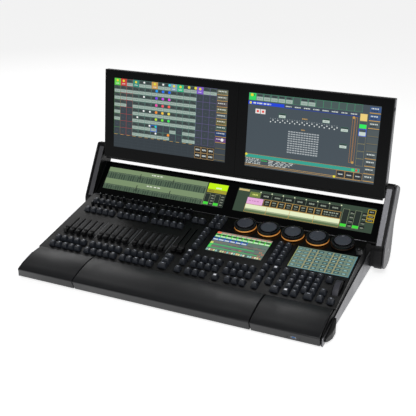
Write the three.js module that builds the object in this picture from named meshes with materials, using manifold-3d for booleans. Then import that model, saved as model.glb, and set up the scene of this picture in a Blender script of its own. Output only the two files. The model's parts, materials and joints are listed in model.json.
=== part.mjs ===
// Lighting control desk: folding screen frame, monitor wing, faders, encoders, key banks.
// Millimetres. X runs left to right, Y from the operator to the rear, Z up.
// "Desk frame": Y = 0 and Z = 0 at the lower front edge of the base, before the final shift.
// "Panel frame": X, then S along the control panel from its front edge, then H out of it.

import * as THREE from 'three';
import { mergeVertices } from 'three/addons/utils/BufferGeometryUtils.js';
import Module from 'manifold-3d';

const wasm = await Module();
wasm.setup();

// ---------- driving dimensions ----------
const GAP = 0.3;                    // play between pieces that touch
const FOOT_HEIGHT = 5;
const BASE_HALF_WIDTH = 489;        // outer face of the side rails
const RAIL_THICKNESS = 3;
const WALL = 3;                     // sheet thickness of the tray's sides
const TRAY_FLOOR = 2.5;
const SHEET = 2;                    // sheet thickness of the covers
const BASE_REAR = 671.5;
const DECK_HEIGHT = 59.4;           // top of the rear deck

// openings in the rear cover, each row centred on SOCKET_Z
const SOCKET_Z = 32;
const ROUND_SOCKETS = { x: -430, pitch: 30, count: 6, radius: 11 };
const NETWORK_SOCKETS = { x: -220, pitch: 30, count: 4, width: 16, height: 14 };
const POWER_INLET = { x: 345, width: 30, height: 24 };
const VENTS = { x: 69, pitch: 26, count: 8, width: 18, height: 4, rows: [18, 44] };

const PALM_HALF_WIDTH = 482;
const PALM_SEAM = 284;
const PALM_SKIN = 4;
const USB_PORT = { x: 409, z: 11, width: 14, height: 7 };   // in the right palm rest's front band

const PANEL_FRONT = { y: 112, z: 54.7 };
const PANEL_LENGTH = 337.7;
const PANEL_SLOPE = THREE.MathUtils.degToRad(11.09);
const PANEL_HALF_WIDTH = 488.6;
const PANEL_THICKNESS = 3;

const ARM_INNER = 508.8;            // inner faces of the arms
const ARM_WIDTH = 22.2;
const ARM_GROOVE = 4;               // black groove between the arm and its side plate
const ARM_PLATE = 3.8;
const ARM_PIVOT = { y: 508.6, z: 73.4 };
const ARM_AXLE_RADIUS = 9;
const PIVOT_BLOCK_RADIUS = 22;

const LETTERBOX_FRONT = { y: 475.3, z: 103.7 };
const LETTERBOX_SLOPE = THREE.MathUtils.degToRad(45);
const LETTERBOX_LENGTH = 134.3;
const LETTERBOX_DEPTH = 37;

const WING_FRONT = { y: 550.1, z: 223.6 };
const WING_LEAN = THREE.MathUtils.degToRad(6.4);
const WING_HEIGHT = 310;
const WING_HALF_WIDTH = 504.7;
const WING_DEPTH_BOTTOM = 42;
const WING_DEPTH_TOP = 28;
const WING_AXIS = { along: 31.1, behind: 19.7 };
const WING_AXLE_RADIUS = 7;

const KEY_PITCH = 23.5;
const KEY_BASE = 20;
const KEY_TOP = 0.62;               // top of a keycap as a share of its base
const KEY_HEIGHT = 11.5;
const KEY_WINDOW_PLAY = 1.2;
const WEB_THICKNESS = 1.6;
const WEB_DROP = 0.4;               // clearance between a key web and the panel

const FADER_GROUPS = 3;
const FADERS_PER_GROUP = 5;
const FADER_FIRST_X = -450.9;
const FADER_GROUP_PITCH = 128.6;
const FADER_REST = 106;             // cap centre at the bottom of its travel
const FADER_SLOT = [98, 184];
const MASTER_X = [-61.6, -39.1];
const MASTER_REST = 119;
const MASTER_SLOT = [111, 240];
const SLOT_WIDTH = 4;

const ENCODER_FIRST_X = 103.7;
const ENCODER_PITCH = 79.6;
const ENCODER_COUNT = 5;
const ENCODER_S = 298;
const ENCODER_HOLE = 10;
const ROUND = 24;                   // facets of a turned piece

const COMMAND_SCREEN = { width: 187, height: 108, s: 199, x: [122, 389.5] };

const LEVEL_WHEEL = { x: 467.5, s: 93, radius: 40, width: 20.5, proud: 17, window: 74 };

// ---------- materials ----------
function finish(color, roughness, metalness) {
  return new THREE.MeshStandardMaterial({ color, roughness, metalness });
}
const BLACK_PAINT = finish(0x161617, 0.6, 0.2);
const PALM_PLASTIC = finish(0x232325, 0.5, 0.0);
const ALUMINIUM = finish(0x9c9ca2, 0.35, 0.9);
const SCREEN_GLASS = finish(0x07080a, 0.08, 0.0);
const KEY_PLASTIC = finish(0x3a3b42, 0.45, 0.0);
const KNOB_PLASTIC = finish(0x1b1c20, 0.35, 0.0);
const RUBBER = finish(0x0d0d0d, 0.9, 0.0);
const BOARD_GREEN = finish(0x14401f, 0.5, 0.1);
const STEEL = finish(0x8c8f94, 0.4, 0.9);

// ---------- solids ----------
function toSolid(geometry) {
  const bare = geometry.clone();
  bare.deleteAttribute('normal');
  bare.deleteAttribute('uv');
  const merged = mergeVertices(bare, 1e-4);
  return new wasm.Manifold(new wasm.Mesh({
    numProp: 3,
    vertProperties: new Float32Array(merged.attributes.position.array),
    triVerts: new Uint32Array(merged.index.array),
  }));
}

function toGeometry(solid) {
  const mesh = solid.getMesh();
  const geometry = new THREE.BufferGeometry();
  geometry.setAttribute('position', new THREE.BufferAttribute(mesh.vertProperties, 3));
  geometry.setIndex(new THREE.BufferAttribute(mesh.triVerts, 1));
  geometry.computeVertexNormals();
  return geometry;
}

function join(geometries) {
  return toGeometry(geometries.map(toSolid).reduce((whole, part) => whole.add(part)));
}

function cut(geometry, tools) {
  return toGeometry(tools.map(toSolid).reduce((rest, tool) => rest.subtract(tool), toSolid(geometry)));
}

function box([x0, x1], [y0, y1], [z0, z1]) {
  const geometry = new THREE.BoxGeometry(x1 - x0, y1 - y0, z1 - z0);
  return geometry.translate((x0 + x1) / 2, (y0 + y1) / 2, (z0 + z1) / 2);
}

function outline(points) {
  return new THREE.Shape(points.map(([a, b]) => new THREE.Vector2(a, b)));
}

// a closed outline whose corners are rounded: each point is [a, b, radius]
function roundedOutline(points) {
  const shape = new THREE.Shape();
  points.forEach(([a, b, radius], i) => {
    const corner = new THREE.Vector2(a, b);
    const before = new THREE.Vector2(...points.at(i - 1).slice(0, 2)).sub(corner).normalize();
    const after = new THREE.Vector2(...points[(i + 1) % points.length].slice(0, 2)).sub(corner).normalize();
    const start = corner.clone().addScaledVector(before, radius);
    const end = corner.clone().addScaledVector(after, radius);
    if (i === 0) shape.moveTo(start.x, start.y);
    else shape.lineTo(start.x, start.y);
    shape.quadraticCurveTo(corner.x, corner.y, end.x, end.y);
  });
  return shape;
}

// outline in (Y, Z), extruded along X
function prismX(shape, [x0, x1], curveSegments = 5) {
  const geometry = new THREE.ExtrudeGeometry(shape, { depth: x1 - x0, bevelEnabled: false, curveSegments });
  const turn = new THREE.Matrix4().makeBasis(
    new THREE.Vector3(0, 1, 0), new THREE.Vector3(0, 0, 1), new THREE.Vector3(1, 0, 0));
  return geometry.applyMatrix4(turn).translate(x0, 0, 0);
}

// outline in (X, Y), extruded along Z
function prismZ(shape, [z0, z1]) {
  return new THREE.ExtrudeGeometry(shape, { depth: z1 - z0, bevelEnabled: false }).translate(0, 0, z0);
}

function cylinderX([x0, x1], y, z, radius, sides = ROUND) {
  const geometry = new THREE.CylinderGeometry(radius, radius, x1 - x0, sides);
  return geometry.rotateZ(Math.PI / 2).translate((x0 + x1) / 2, y, z);
}

// a turned piece about local Z: profile points are [radius, height]
function turned(profile, sides = ROUND) {
  const points = profile.map(([radius, height]) => new THREE.Vector2(radius, height));
  return new THREE.LatheGeometry(points, sides).rotateX(Math.PI / 2);
}

function mirrored(range) {
  return [-range[1], -range[0]];
}

// ---------- groups ----------
const desk = new THREE.Group();

function frameAt({ y, z }, tilt) {
  const frame = new THREE.Group();
  frame.position.set(0, y, z);
  frame.rotation.x = tilt;
  desk.add(frame);
  return frame;
}
const panelFrame = frameAt(PANEL_FRONT, PANEL_SLOPE);
const letterboxFrame = frameAt(LETTERBOX_FRONT, LETTERBOX_SLOPE);
const wingFrame = frameAt(WING_FRONT, Math.PI / 2 - WING_LEAN);

function place(parent, name, geometry, material) {
  const mesh = new THREE.Mesh(geometry, material);
  mesh.name = name;
  parent.add(mesh);
  return mesh;
}

const SIDES = [['left', -1], ['right', 1]];
function onSide(sign, range) {
  return sign > 0 ? range : mirrored(range);
}

// ---------- base ----------
const panelRear = {
  y: PANEL_FRONT.y + PANEL_LENGTH * Math.cos(PANEL_SLOPE),
  z: PANEL_FRONT.z + PANEL_LENGTH * Math.sin(PANEL_SLOPE),
};

function buildTray() {
  const half = BASE_HALF_WIDTH - RAIL_THICKNESS - GAP;
  const under = PANEL_THICKNESS + 2 * GAP;
  const profile = outline([
    [2, 0], [BASE_REAR, 0], [BASE_REAR, DECK_HEIGHT], [panelRear.y + SHEET, DECK_HEIGHT],
    [panelRear.y, panelRear.z - under], [PANEL_FRONT.y, PANEL_FRONT.z - under],
    [68, 51], [37, 43], [15, 37], [2, 26],
  ]);
  const block = prismX(profile, [-half, half]);
  const inside = half - WALL;
  return cut(block, [
    box([-inside, inside], [13, BASE_REAR + 1], [TRAY_FLOOR, 200]),
    box([-inside, inside], [0, 10], [-1, 200]),
    box([-inside, inside], [9, 14], [22, 200]),
  ]);
}

function buildRail(sign) {
  const profile = outline([
    [0, 0], [BASE_REAR, 0], [BASE_REAR, 58], [524, 62], [355, 58], [192, 43], [107, 32.5], [0, 26],
  ]);
  return prismX(profile, onSide(sign, [BASE_HALF_WIDTH - RAIL_THICKNESS, BASE_HALF_WIDTH]));
}

// a hollow moulding: the front band leans forward and the top swells towards the operator
function buildPalmRest(range) {
  const shape = new THREE.Shape();
  shape.moveTo(0, 1);
  shape.lineTo(-11.5, 28.9);
  shape.bezierCurveTo(-2, 35.5, 8, 39, 18, 42);
  shape.bezierCurveTo(45, 50, 70, 57.5, 110.5, 54.5);
  shape.lineTo(110.5, 54.5 - PALM_SKIN);
  shape.bezierCurveTo(70, 53.5, 45, 46, 18, 37.8);
  shape.bezierCurveTo(10, 35.4, 0, 32, -7, 27.4);
  shape.lineTo(PALM_SKIN * 0.95, 1);
  return prismX(shape, range, 6);
}

function usbOpening() {
  const { x, z, width, height } = USB_PORT;
  return box([x - width / 2, x + width / 2], [-20, 8], [z - height / 2, z + height / 2]);
}

// a rectangular opening through the rear cover's upright face
function rearWindow(x, z, width, height) {
  return box([x - width / 2, x + width / 2], [BASE_REAR - 2 * SHEET, BASE_REAR + 2 * SHEET],
    [z - height / 2, z + height / 2]);
}

function rowOf({ x, pitch, count }) {
  return Array.from({ length: count }, (_, i) => x + i * pitch);
}

function rearOpenings() {
  const { radius } = ROUND_SOCKETS;
  return [
    ...rowOf(ROUND_SOCKETS).map((x) => (
      new THREE.CylinderGeometry(radius, radius, 4 * SHEET, ROUND).translate(x, BASE_REAR, SOCKET_Z))),
    ...rowOf(NETWORK_SOCKETS).map((x) => (
      rearWindow(x, SOCKET_Z, NETWORK_SOCKETS.width, NETWORK_SOCKETS.height))),
    rearWindow(POWER_INLET.x, SOCKET_Z, POWER_INLET.width, POWER_INLET.height),
    ...VENTS.rows.flatMap((z) => rowOf(VENTS).map((x) => rearWindow(x, z, VENTS.width, VENTS.height))),
  ];
}

function buildRearCover() {
  const top = panelRear.z - PANEL_THICKNESS - 3 * GAP;
  const front = panelRear.y - SHEET;
  const half = BASE_HALF_WIDTH - RAIL_THICKNESS - WALL - 2 * GAP;
  const shape = outline([
    [front, top], [front + SHEET, top - GAP], [front + SHEET, DECK_HEIGHT], [BASE_REAR, DECK_HEIGHT],
    [BASE_REAR, 3], [BASE_REAR - SHEET, 3], [BASE_REAR - SHEET, DECK_HEIGHT - SHEET],
    [front, DECK_HEIGHT - SHEET],
  ]);
  return cut(prismX(shape, [-half, half]), rearOpenings());
}

function buildPivotBlock(sign) {
  const { y, z } = ARM_PIVOT;
  const r = PIVOT_BLOCK_RADIUS;
  const block = roundedOutline([[y - r, 16, 6], [y + r, 16, 6], [y + r, z + r, r], [y - r, z + r, r]]);
  return join([
    prismX(block, onSide(sign, [BASE_HALF_WIDTH + GAP, ARM_INNER - 1.2])),
    cylinderX(onSide(sign, [ARM_INNER - 2, ARM_INNER + 23]), y, z, ARM_AXLE_RADIUS),
  ]);
}

// a thick lever, whose outer face slopes in towards both ends
function buildLatch(sign) {
  const lever = roundedOutline([
    [10, 9, 5], [26, 6, 6], [72, 7, 8], [104, 22, 7], [106, 34, 5], [92, 36, 6], [12, 20, 5],
  ]);
  const outer = BASE_HALF_WIDTH + 14;
  const tapers = [
    [[outer + 1, 66], [outer + 1, 112], [outer - 11, 112]],
    [[outer + 1, 46], [outer - 11, 4], [outer + 1, 4]],
  ].map((points) => prismZ(outline(points.map(([x, y]) => [sign * x, y])), [0, 40]));
  return cut(prismX(lever, onSide(sign, [BASE_HALF_WIDTH + GAP, outer]), 3), tapers);
}

function buildFootStrip([y0, y1]) {
  return box([-430, 430], [y0, y1], [-FOOT_HEIGHT, -GAP]);
}

function buildMainboard() {
  const chips = [
    [-180, 330, 34, 9], [-90, 290, 26, 6], [30, 340, 46, 14], [140, 300, 22, 8], [200, 350, 30, 10],
  ];
  const corners = [[-240, 250], [240, 250], [-240, 410], [240, 410]];
  const board = box([-250, 250], [240, 420], [9, 10.6]);
  const blocks = chips.map(([x, y, size, height]) => box([x, x + size], [y, y + size], [10, 10.6 + height]));
  const posts = corners.map(([x, y]) => box([x - 4, x + 4], [y - 4, y + 4], [TRAY_FLOOR + GAP, 10]));
  return join([board, ...blocks, ...posts]);
}

function buildPowerSupply() {
  const body = box([230, 440], [480, 640], [TRAY_FLOOR + GAP, 48]);
  const vents = [0, 1, 2, 3, 4].map((i) => box([250 + i * 38, 274 + i * 38], [478, 486], [14, 38]));
  return cut(body, vents);
}

place(desk, 'base_tray', buildTray(), BLACK_PAINT);
for (const [side, sign] of SIDES) {
  place(desk, `side_rail_${side}`, buildRail(sign), ALUMINIUM);
  place(desk, `pivot_block_${side}`, buildPivotBlock(sign), BLACK_PAINT);
  place(desk, `side_latch_${side}`, buildLatch(sign), BLACK_PAINT);
}
place(desk, 'palm_rest_left', buildPalmRest([-PALM_HALF_WIDTH, -PALM_SEAM - GAP]), PALM_PLASTIC);
place(desk, 'palm_rest_center', buildPalmRest([-PALM_SEAM + GAP, PALM_SEAM - GAP]), PALM_PLASTIC);
place(desk, 'palm_rest_right',
  cut(buildPalmRest([PALM_SEAM + GAP, PALM_HALF_WIDTH]), [usbOpening()]), PALM_PLASTIC);
place(desk, 'rear_cover', buildRearCover(), BLACK_PAINT);
place(desk, 'foot_strip_front', buildFootStrip([40, 62]), RUBBER);
place(desk, 'foot_strip_rear', buildFootStrip([600, 622]), RUBBER);
place(desk, 'mainboard', buildMainboard(), BOARD_GREEN);
place(desk, 'power_supply', buildPowerSupply(), STEEL);

// ---------- key banks ----------
function row(x, s, count, pitch = KEY_PITCH) {
  return Array.from({ length: count }, (_, i) => ({ x: x + i * pitch, s }));
}

function column(x, s, count, pitch) {
  return Array.from({ length: count }, (_, i) => ({ x, s: s + i * pitch }));
}

const groupStarts = Array.from({ length: FADER_GROUPS }, (_, g) => FADER_FIRST_X + g * FADER_GROUP_PITCH);
function executorRow(s) {
  return groupStarts.flatMap((x) => row(x, s, FADERS_PER_GROUP));
}

const WIDE = 27;
const KEY_BANKS = {
  executor_front: {
    keys: [...executorRow(25), ...executorRow(59)],
    webs: [[-465, -91, 12, 72]],
  },
  executor_rear: {
    keys: [...executorRow(238), ...executorRow(294)],
    webs: [[-465, -91, 225, 307]],
  },
  command_left: {
    keys: [
      { x: -56.7, s: 28, w: WIDE }, { x: -56.7, s: 50.5, w: WIDE }, { x: -56.7, s: 73, w: WIDE },
      { x: -5.5, s: 27 }, { x: -5.5, s: 64 }, { x: -5.5, s: 89 }, { x: -5.5, s: 115 },
      ...row(31, 64, 4), ...row(31, 95, 4), ...row(137, 64, 4), ...row(137, 95, 4),
      ...row(29.5, 27, 3), { x: 117.4, s: 27 }, ...row(156.5, 27, 3),
    ],
    webs: [[-73, 220, 14, 86], [-18, 220, 80, 108], [-18, 8, 100, 128]],
  },
  macro_column: {
    keys: [
      ...column(-4.9, 150, 5, 22.4), ...column(-3, 274, 3, 22.6), ...column(20.5, 274, 3, 22.6),
      { x: -66, s: 284, w: 22 }, { x: -42, s: 284, w: 22 },
    ],
    webs: [[-17, 8, 138, 332], [-17, 33, 262, 332], [-79, 10, 272, 296]],
  },
  numeric_block: {
    keys: [
      ...column(245.5, 150, 5, 22), ...column(269, 150, 5, 22),
      ...column(241.5, 27, 4, 30), ...column(273, 57, 3, 30),
      ...column(306, 57, 3, 30), { x: 301.5, s: 27, w: WIDE },
      ...column(335.5, 27, 5, 23.2), ...column(359.5, 50.2, 4, 23.2), { x: 359.5, s: 27 },
      ...column(383, 50.2, 4, 23.2), ...column(406.5, 50.2, 4, 23.2), { x: 401.5, s: 27, w: WIDE },
      { x: 435, s: 27 }, { x: 435, s: 57 }, { x: 436, s: 117 }, { x: 466, s: 26 },
    ],
    webs: [[229, 446, 14, 131], [229, 283, 120, 252], [420, 478, 14, 40]],
  },
};

// a keycap is a four-sided frustum standing on the web under the panel
function keycap({ x, s, w = KEY_BASE }) {
  const foot = -PANEL_THICKNESS - WEB_DROP - WEB_THICKNESS / 2;
  const stem = box([x - w / 2, x + w / 2], [s - KEY_BASE / 2, s + KEY_BASE / 2], [foot, KEY_HEIGHT]);
  const position = stem.attributes.position;
  for (let i = 0; i < position.count; i += 1) {
    if (position.getZ(i) > 0) {
      position.setX(i, x + Math.sign(position.getX(i) - x) * (w / 2 - KEY_BASE * (1 - KEY_TOP) / 2));
      position.setY(i, s + Math.sign(position.getY(i) - s) * KEY_BASE * KEY_TOP / 2);
    }
  }
  return stem;
}

function buildKeyBank({ keys, webs }) {
  const top = -PANEL_THICKNESS - WEB_DROP;
  const plates = webs.map(([x0, x1, s0, s1]) => box([x0, x1], [s0, s1], [top - WEB_THICKNESS, top]));
  return join([...plates, ...keys.map(keycap)]);
}

for (const [name, bank] of Object.entries(KEY_BANKS)) {
  place(panelFrame, `key_bank_${name}`, buildKeyBank(bank), KEY_PLASTIC);
}

// ---------- control panel ----------
const faderPlaces = groupStarts.flatMap((x) => row(x, FADER_REST, FADERS_PER_GROUP));
const encoderXs = Array.from({ length: ENCODER_COUNT }, (_, i) => ENCODER_FIRST_X + i * ENCODER_PITCH);

// a rectangular opening right through the panel
function panelWindow(x, s, halfWidth, halfLength) {
  return box([x - halfWidth, x + halfWidth], [s - halfLength, s + halfLength], [-PANEL_THICKNESS - 2, 2]);
}

function slotWindow(x, [s0, s1]) {
  return panelWindow(x, (s0 + s1) / 2, SLOT_WIDTH / 2, (s1 - s0) / 2);
}

function buildPanel() {
  const plate = box([-PANEL_HALF_WIDTH, PANEL_HALF_WIDTH], [GAP, PANEL_LENGTH], [-PANEL_THICKNESS, 0]);
  const keys = Object.values(KEY_BANKS).flatMap((bank) => bank.keys);
  return cut(plate, [
    ...faderPlaces.map(({ x }) => slotWindow(x, FADER_SLOT)),
    ...MASTER_X.map((x) => slotWindow(x, MASTER_SLOT)),
    ...encoderXs.map((x) => turned([[0, -5], [ENCODER_HOLE, -5], [ENCODER_HOLE, 2], [0, 2]])
      .translate(x, ENCODER_S, 0)),
    ...COMMAND_SCREEN.x.map((x) => (
      panelWindow(x, COMMAND_SCREEN.s, COMMAND_SCREEN.width / 2, COMMAND_SCREEN.height / 2))),
    ...keys.map(({ x, s, w = KEY_BASE }) => (
      panelWindow(x, s, w / 2 + KEY_WINDOW_PLAY, KEY_BASE / 2 + KEY_WINDOW_PLAY))),
    panelWindow(LEVEL_WHEEL.x, LEVEL_WHEEL.s, LEVEL_WHEEL.width / 2 + 1, LEVEL_WHEEL.window / 2),
  ]);
}
place(panelFrame, 'control_panel', buildPanel(), BLACK_PAINT);

// ---------- panel-mounted pieces ----------
function buildCommandScreen(x) {
  const { width, height, s } = COMMAND_SCREEN;
  const a = width / 2 - GAP;
  const b = height / 2 - GAP;
  return join([
    box([x - a, x + a], [s - b, s + b], [-4, -0.1]),
    box([x - a + 4, x + a - 4], [s - b + 4, s + b - 4], [-17, -3.5]),
  ]);
}
place(panelFrame, 'command_screen_left', buildCommandScreen(COMMAND_SCREEN.x[0]), SCREEN_GLASS);
place(panelFrame, 'command_screen_right', buildCommandScreen(COMMAND_SCREEN.x[1]), SCREEN_GLASS);

// a saddle-shaped cap on a flat blade that runs in the slot
function buildFader(width, length) {
  const cap = outline([
    [-length / 2, 2], [length / 2, 2], [length / 2 - 3, 11.5], [length * 0.22, 12.5], [0, 9.5],
    [-length * 0.22, 12.5], [-length / 2 + 3, 11.5],
  ]);
  return join([
    prismX(cap, [-width / 2, width / 2]),
    box([-1, 1], [-4, 4], [-14, 4]),
  ]);
}

faderPlaces.forEach(({ x, s }, i) => {
  const name = `fader_${String(i + 1).padStart(2, '0')}`;
  const fader = place(panelFrame, name, buildFader(12.5, 23), KNOB_PLASTIC);
  fader.position.set(x, s, 0);
});
MASTER_X.forEach((x, i) => {
  const fader = place(panelFrame, `master_fader_${'ab'[i]}`, buildFader(18, 27), KNOB_PLASTIC);
  fader.position.set(x, MASTER_REST, 0);
});

// the outer wheel is a disc on a tube, with a skirt drawn in under its rim and a recess in its top;
// the dished knob lies in that recess, and its shaft runs down inside the tube
const WHEEL_PROFILE = [
  [6.2, -7], [9.4, -7], [9.4, 1.6], [34, 1.6], [34, 7], [36, 8.2], [35.8, 13.6], [34.2, 15.5],
  [28.6, 15.5], [27.6, 13], [6.2, 13], [6.2, -7],
];
const KNOB_PROFILE = [
  [0, -9], [5.6, -9], [5.6, 13.4], [25.6, 13.4], [26.4, 14.6], [25.6, 17.2], [24, 17.9], [22.4, 17.2],
  [20, 15.5], [0, 15],
];
encoderXs.forEach((x, i) => {
  const wheel = place(panelFrame, `encoder_wheel_${i + 1}`, turned(WHEEL_PROFILE), KNOB_PLASTIC);
  wheel.position.set(x, ENCODER_S, 0);
  const knob = place(panelFrame, `encoder_knob_${i + 1}`, turned(KNOB_PROFILE), KNOB_PLASTIC);
  knob.position.set(x, ENCODER_S, 0);
});

function buildLevelWheel() {
  const { radius, width } = LEVEL_WHEEL;
  return cylinderX([-width / 2, width / 2], 0, 0, radius, 36);
}
const levelWheel = place(panelFrame, 'level_wheel', buildLevelWheel(), KNOB_PLASTIC);
levelWheel.position.set(LEVEL_WHEEL.x, LEVEL_WHEEL.s, LEVEL_WHEEL.proud - LEVEL_WHEEL.radius);

// ---------- folding frame: arms, side plates, letterbox ----------
// a foot around the lower pivot, then a bar that leans back 31 degrees, with a square-cut top
const ARM_OUTLINE = [
  [459, 26, 16], [459, 92, 10], [566, 272, 12], [625, 243, 18], [571, 147, 20], [563, 45, 14], [545, 17, 16],
  [500, 12, 16],
];

// the same outline drawn closer to its centre
function inset(points, amount) {
  const centre = points.reduce(([a, b], [y, z]) => [a + y / points.length, b + z / points.length], [0, 0]);
  return points.map(([y, z, radius]) => {
    const away = new THREE.Vector2(y - centre[0], z - centre[1]);
    const share = 1 - amount / away.length();
    return [centre[0] + away.x * share, centre[1] + away.y * share, radius * share];
  });
}

function wingAxis() {
  const along = new THREE.Vector2(Math.sin(WING_LEAN), Math.cos(WING_LEAN));
  const behind = new THREE.Vector2(Math.cos(WING_LEAN), -Math.sin(WING_LEAN));
  return new THREE.Vector2(WING_FRONT.y, WING_FRONT.z)
    .addScaledVector(along, WING_AXIS.along).addScaledVector(behind, WING_AXIS.behind);
}

function buildArm(sign) {
  const outer = ARM_INNER + ARM_WIDTH;
  const bar = prismX(roundedOutline(ARM_OUTLINE), onSide(sign, [ARM_INNER, outer]));
  const seat = prismX(roundedOutline(inset(ARM_OUTLINE, 9)), onSide(sign, [outer - 1, outer + ARM_GROOVE]));
  const axis = wingAxis();
  return cut(join([bar, seat]), [
    cylinderX(onSide(sign, [ARM_INNER - 5, outer + ARM_GROOVE + 5]),
      ARM_PIVOT.y, ARM_PIVOT.z, ARM_AXLE_RADIUS + 0.5),
    cylinderX(onSide(sign, [ARM_INNER - 5, ARM_INNER + 13]), axis.x, axis.y, WING_AXLE_RADIUS + 0.5),
  ]);
}

function buildArmPlate(sign) {
  const inner = ARM_INNER + ARM_WIDTH + ARM_GROOVE + GAP;
  return prismX(roundedOutline(inset(ARM_OUTLINE, 2)), onSide(sign, [inner, inner + ARM_PLATE]));
}

for (const [side, sign] of SIDES) {
  place(desk, `arm_${side}`, buildArm(sign), BLACK_PAINT);
  place(desk, `arm_plate_${side}`, buildArmPlate(sign), ALUMINIUM);
}

function buildLetterboxHousing() {
  const half = ARM_INNER - GAP;
  const body = prismX(roundedOutline([
    [0, 0, 1.5], [LETTERBOX_LENGTH, 0, 1.5], [LETTERBOX_LENGTH, -LETTERBOX_DEPTH + 8, 8],
    [60, -LETTERBOX_DEPTH, 8], [24, -20, 8], [0, -14, 4],
  ]), [-half, half], 3);
  return cut(body, [
    box([-half + 3, half - 3], [3, LETTERBOX_LENGTH - 3], [-4, 5]),
    box([-half + 8, half - 8], [22, LETTERBOX_LENGTH - 14], [-16, 5]),
    box([-half + 8, half - 8], [62, LETTERBOX_LENGTH - 18], [-25, 5]),
  ]);
}

function buildLetterboxGlass() {
  const half = ARM_INNER - GAP - 3 - GAP;
  return join([
    box([-half, half], [3 + GAP, LETTERBOX_LENGTH - 3 - GAP], [-3.7, -0.2]),
    box([-half + 8, half - 8], [26, LETTERBOX_LENGTH - 20], [-14, -3]),
  ]);
}
place(letterboxFrame, 'letterbox_housing', buildLetterboxHousing(), BLACK_PAINT);
place(letterboxFrame, 'letterbox_glass', buildLetterboxGlass(), SCREEN_GLASS);

// ---------- monitor wing ----------
function buildWingShell() {
  const body = prismX(roundedOutline([
    [0, 0, 2], [WING_HEIGHT, 0, 2], [WING_HEIGHT, -WING_DEPTH_TOP, 7], [0, -WING_DEPTH_BOTTOM, 9],
  ]), [-WING_HALF_WIDTH, WING_HALF_WIDTH], 3);
  const axles = SIDES.map(([, sign]) => (
    cylinderX(onSide(sign, [WING_HALF_WIDTH - 4, ARM_INNER + 11]),
      WING_AXIS.along, -WING_AXIS.behind, WING_AXLE_RADIUS)));
  return cut(join([body, ...axles]), [
    box([-WING_HALF_WIDTH + 2.5, WING_HALF_WIDTH - 2.5], [2.5, WING_HEIGHT - 2.5], [-4, 5]),
    box([-WING_HALF_WIDTH + 12, WING_HALF_WIDTH - 12], [46, WING_HEIGHT - 14], [-18, 5]),
  ]);
}

function buildMonitor(sign) {
  const [x0, x1] = onSide(sign, [GAP, WING_HALF_WIDTH - 2.5 - GAP]);
  const [a, b] = onSide(sign, [14, WING_HALF_WIDTH - 16]);
  return join([
    box([x0, x1], [2.5 + GAP, WING_HEIGHT - 2.5 - GAP], [-3.7, -0.2]),
    box([a, b], [50, WING_HEIGHT - 18], [-15, -3]),
  ]);
}
place(wingFrame, 'wing_shell', buildWingShell(), BLACK_PAINT);
for (const [side, sign] of SIDES) {
  place(wingFrame, `monitor_${side}`, buildMonitor(sign), SCREEN_GLASS);
}

// origin under the middle of the desk, on the surface that it stands on
const FRONT_EDGE = -11.5;
desk.position.set(0, -(FRONT_EDGE + BASE_REAR) / 2, FOOT_HEIGHT);

const assembly = new THREE.Group();
assembly.add(desk);
export default assembly;
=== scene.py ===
"""A lighting control desk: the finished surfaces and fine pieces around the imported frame.

Places are metres. Sections, sizes and heights of small pieces are millimetres, which MM turns into
metres. X runs to the operator's right, Y to the rear, Z up.
On a flat face, x is that same X, s runs up along the face from its lower edge, and h stands out of it.
"""

import json
import math
import random

import bmesh
import bpy
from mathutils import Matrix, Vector


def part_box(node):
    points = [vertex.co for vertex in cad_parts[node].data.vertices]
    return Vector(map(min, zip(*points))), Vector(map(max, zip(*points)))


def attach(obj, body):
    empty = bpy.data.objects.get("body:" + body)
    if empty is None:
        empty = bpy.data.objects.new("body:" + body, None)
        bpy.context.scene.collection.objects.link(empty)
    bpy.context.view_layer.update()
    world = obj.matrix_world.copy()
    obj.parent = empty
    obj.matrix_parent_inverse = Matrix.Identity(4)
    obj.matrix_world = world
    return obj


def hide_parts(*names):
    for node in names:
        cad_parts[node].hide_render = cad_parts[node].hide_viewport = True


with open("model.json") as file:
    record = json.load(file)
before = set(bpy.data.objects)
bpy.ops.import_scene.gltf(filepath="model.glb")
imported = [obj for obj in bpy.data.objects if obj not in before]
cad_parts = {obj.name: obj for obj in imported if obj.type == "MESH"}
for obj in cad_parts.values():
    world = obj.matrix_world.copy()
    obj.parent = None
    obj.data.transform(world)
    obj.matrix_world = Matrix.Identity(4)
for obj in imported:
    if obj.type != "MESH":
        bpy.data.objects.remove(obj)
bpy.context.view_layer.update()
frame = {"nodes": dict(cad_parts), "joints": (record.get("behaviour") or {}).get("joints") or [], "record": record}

MM = 0.001
RIGHT = Vector((1, 0, 0))
NODES = frame["nodes"]
JOINTS = {joint["child"]: joint for joint in frame["joints"]}
OPENINGS = {o["name"]: o["box_m"] for o in frame["record"]["physics"]["openings"]}

# ---------- camera ----------
CAMERA_PLACE = (0.95083, -2.04848, 1.11344)
CAMERA_TURN = 0.4321
CAMERA_DIP = 0.3869
CAMERA_LENS = 67.5


def add(name, data):
    """Puts a new object with this data in the scene."""
    piece = bpy.data.objects.new(name, data)
    bpy.context.scene.collection.objects.link(piece)
    return piece


def make_camera():
    data = bpy.data.cameras.new("camera")
    data.lens = CAMERA_LENS
    camera = add("camera", data)
    camera.location = CAMERA_PLACE
    camera.rotation_euler = (math.pi / 2 - CAMERA_DIP, 0, CAMERA_TURN)
    bpy.context.scene.camera = camera


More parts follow.
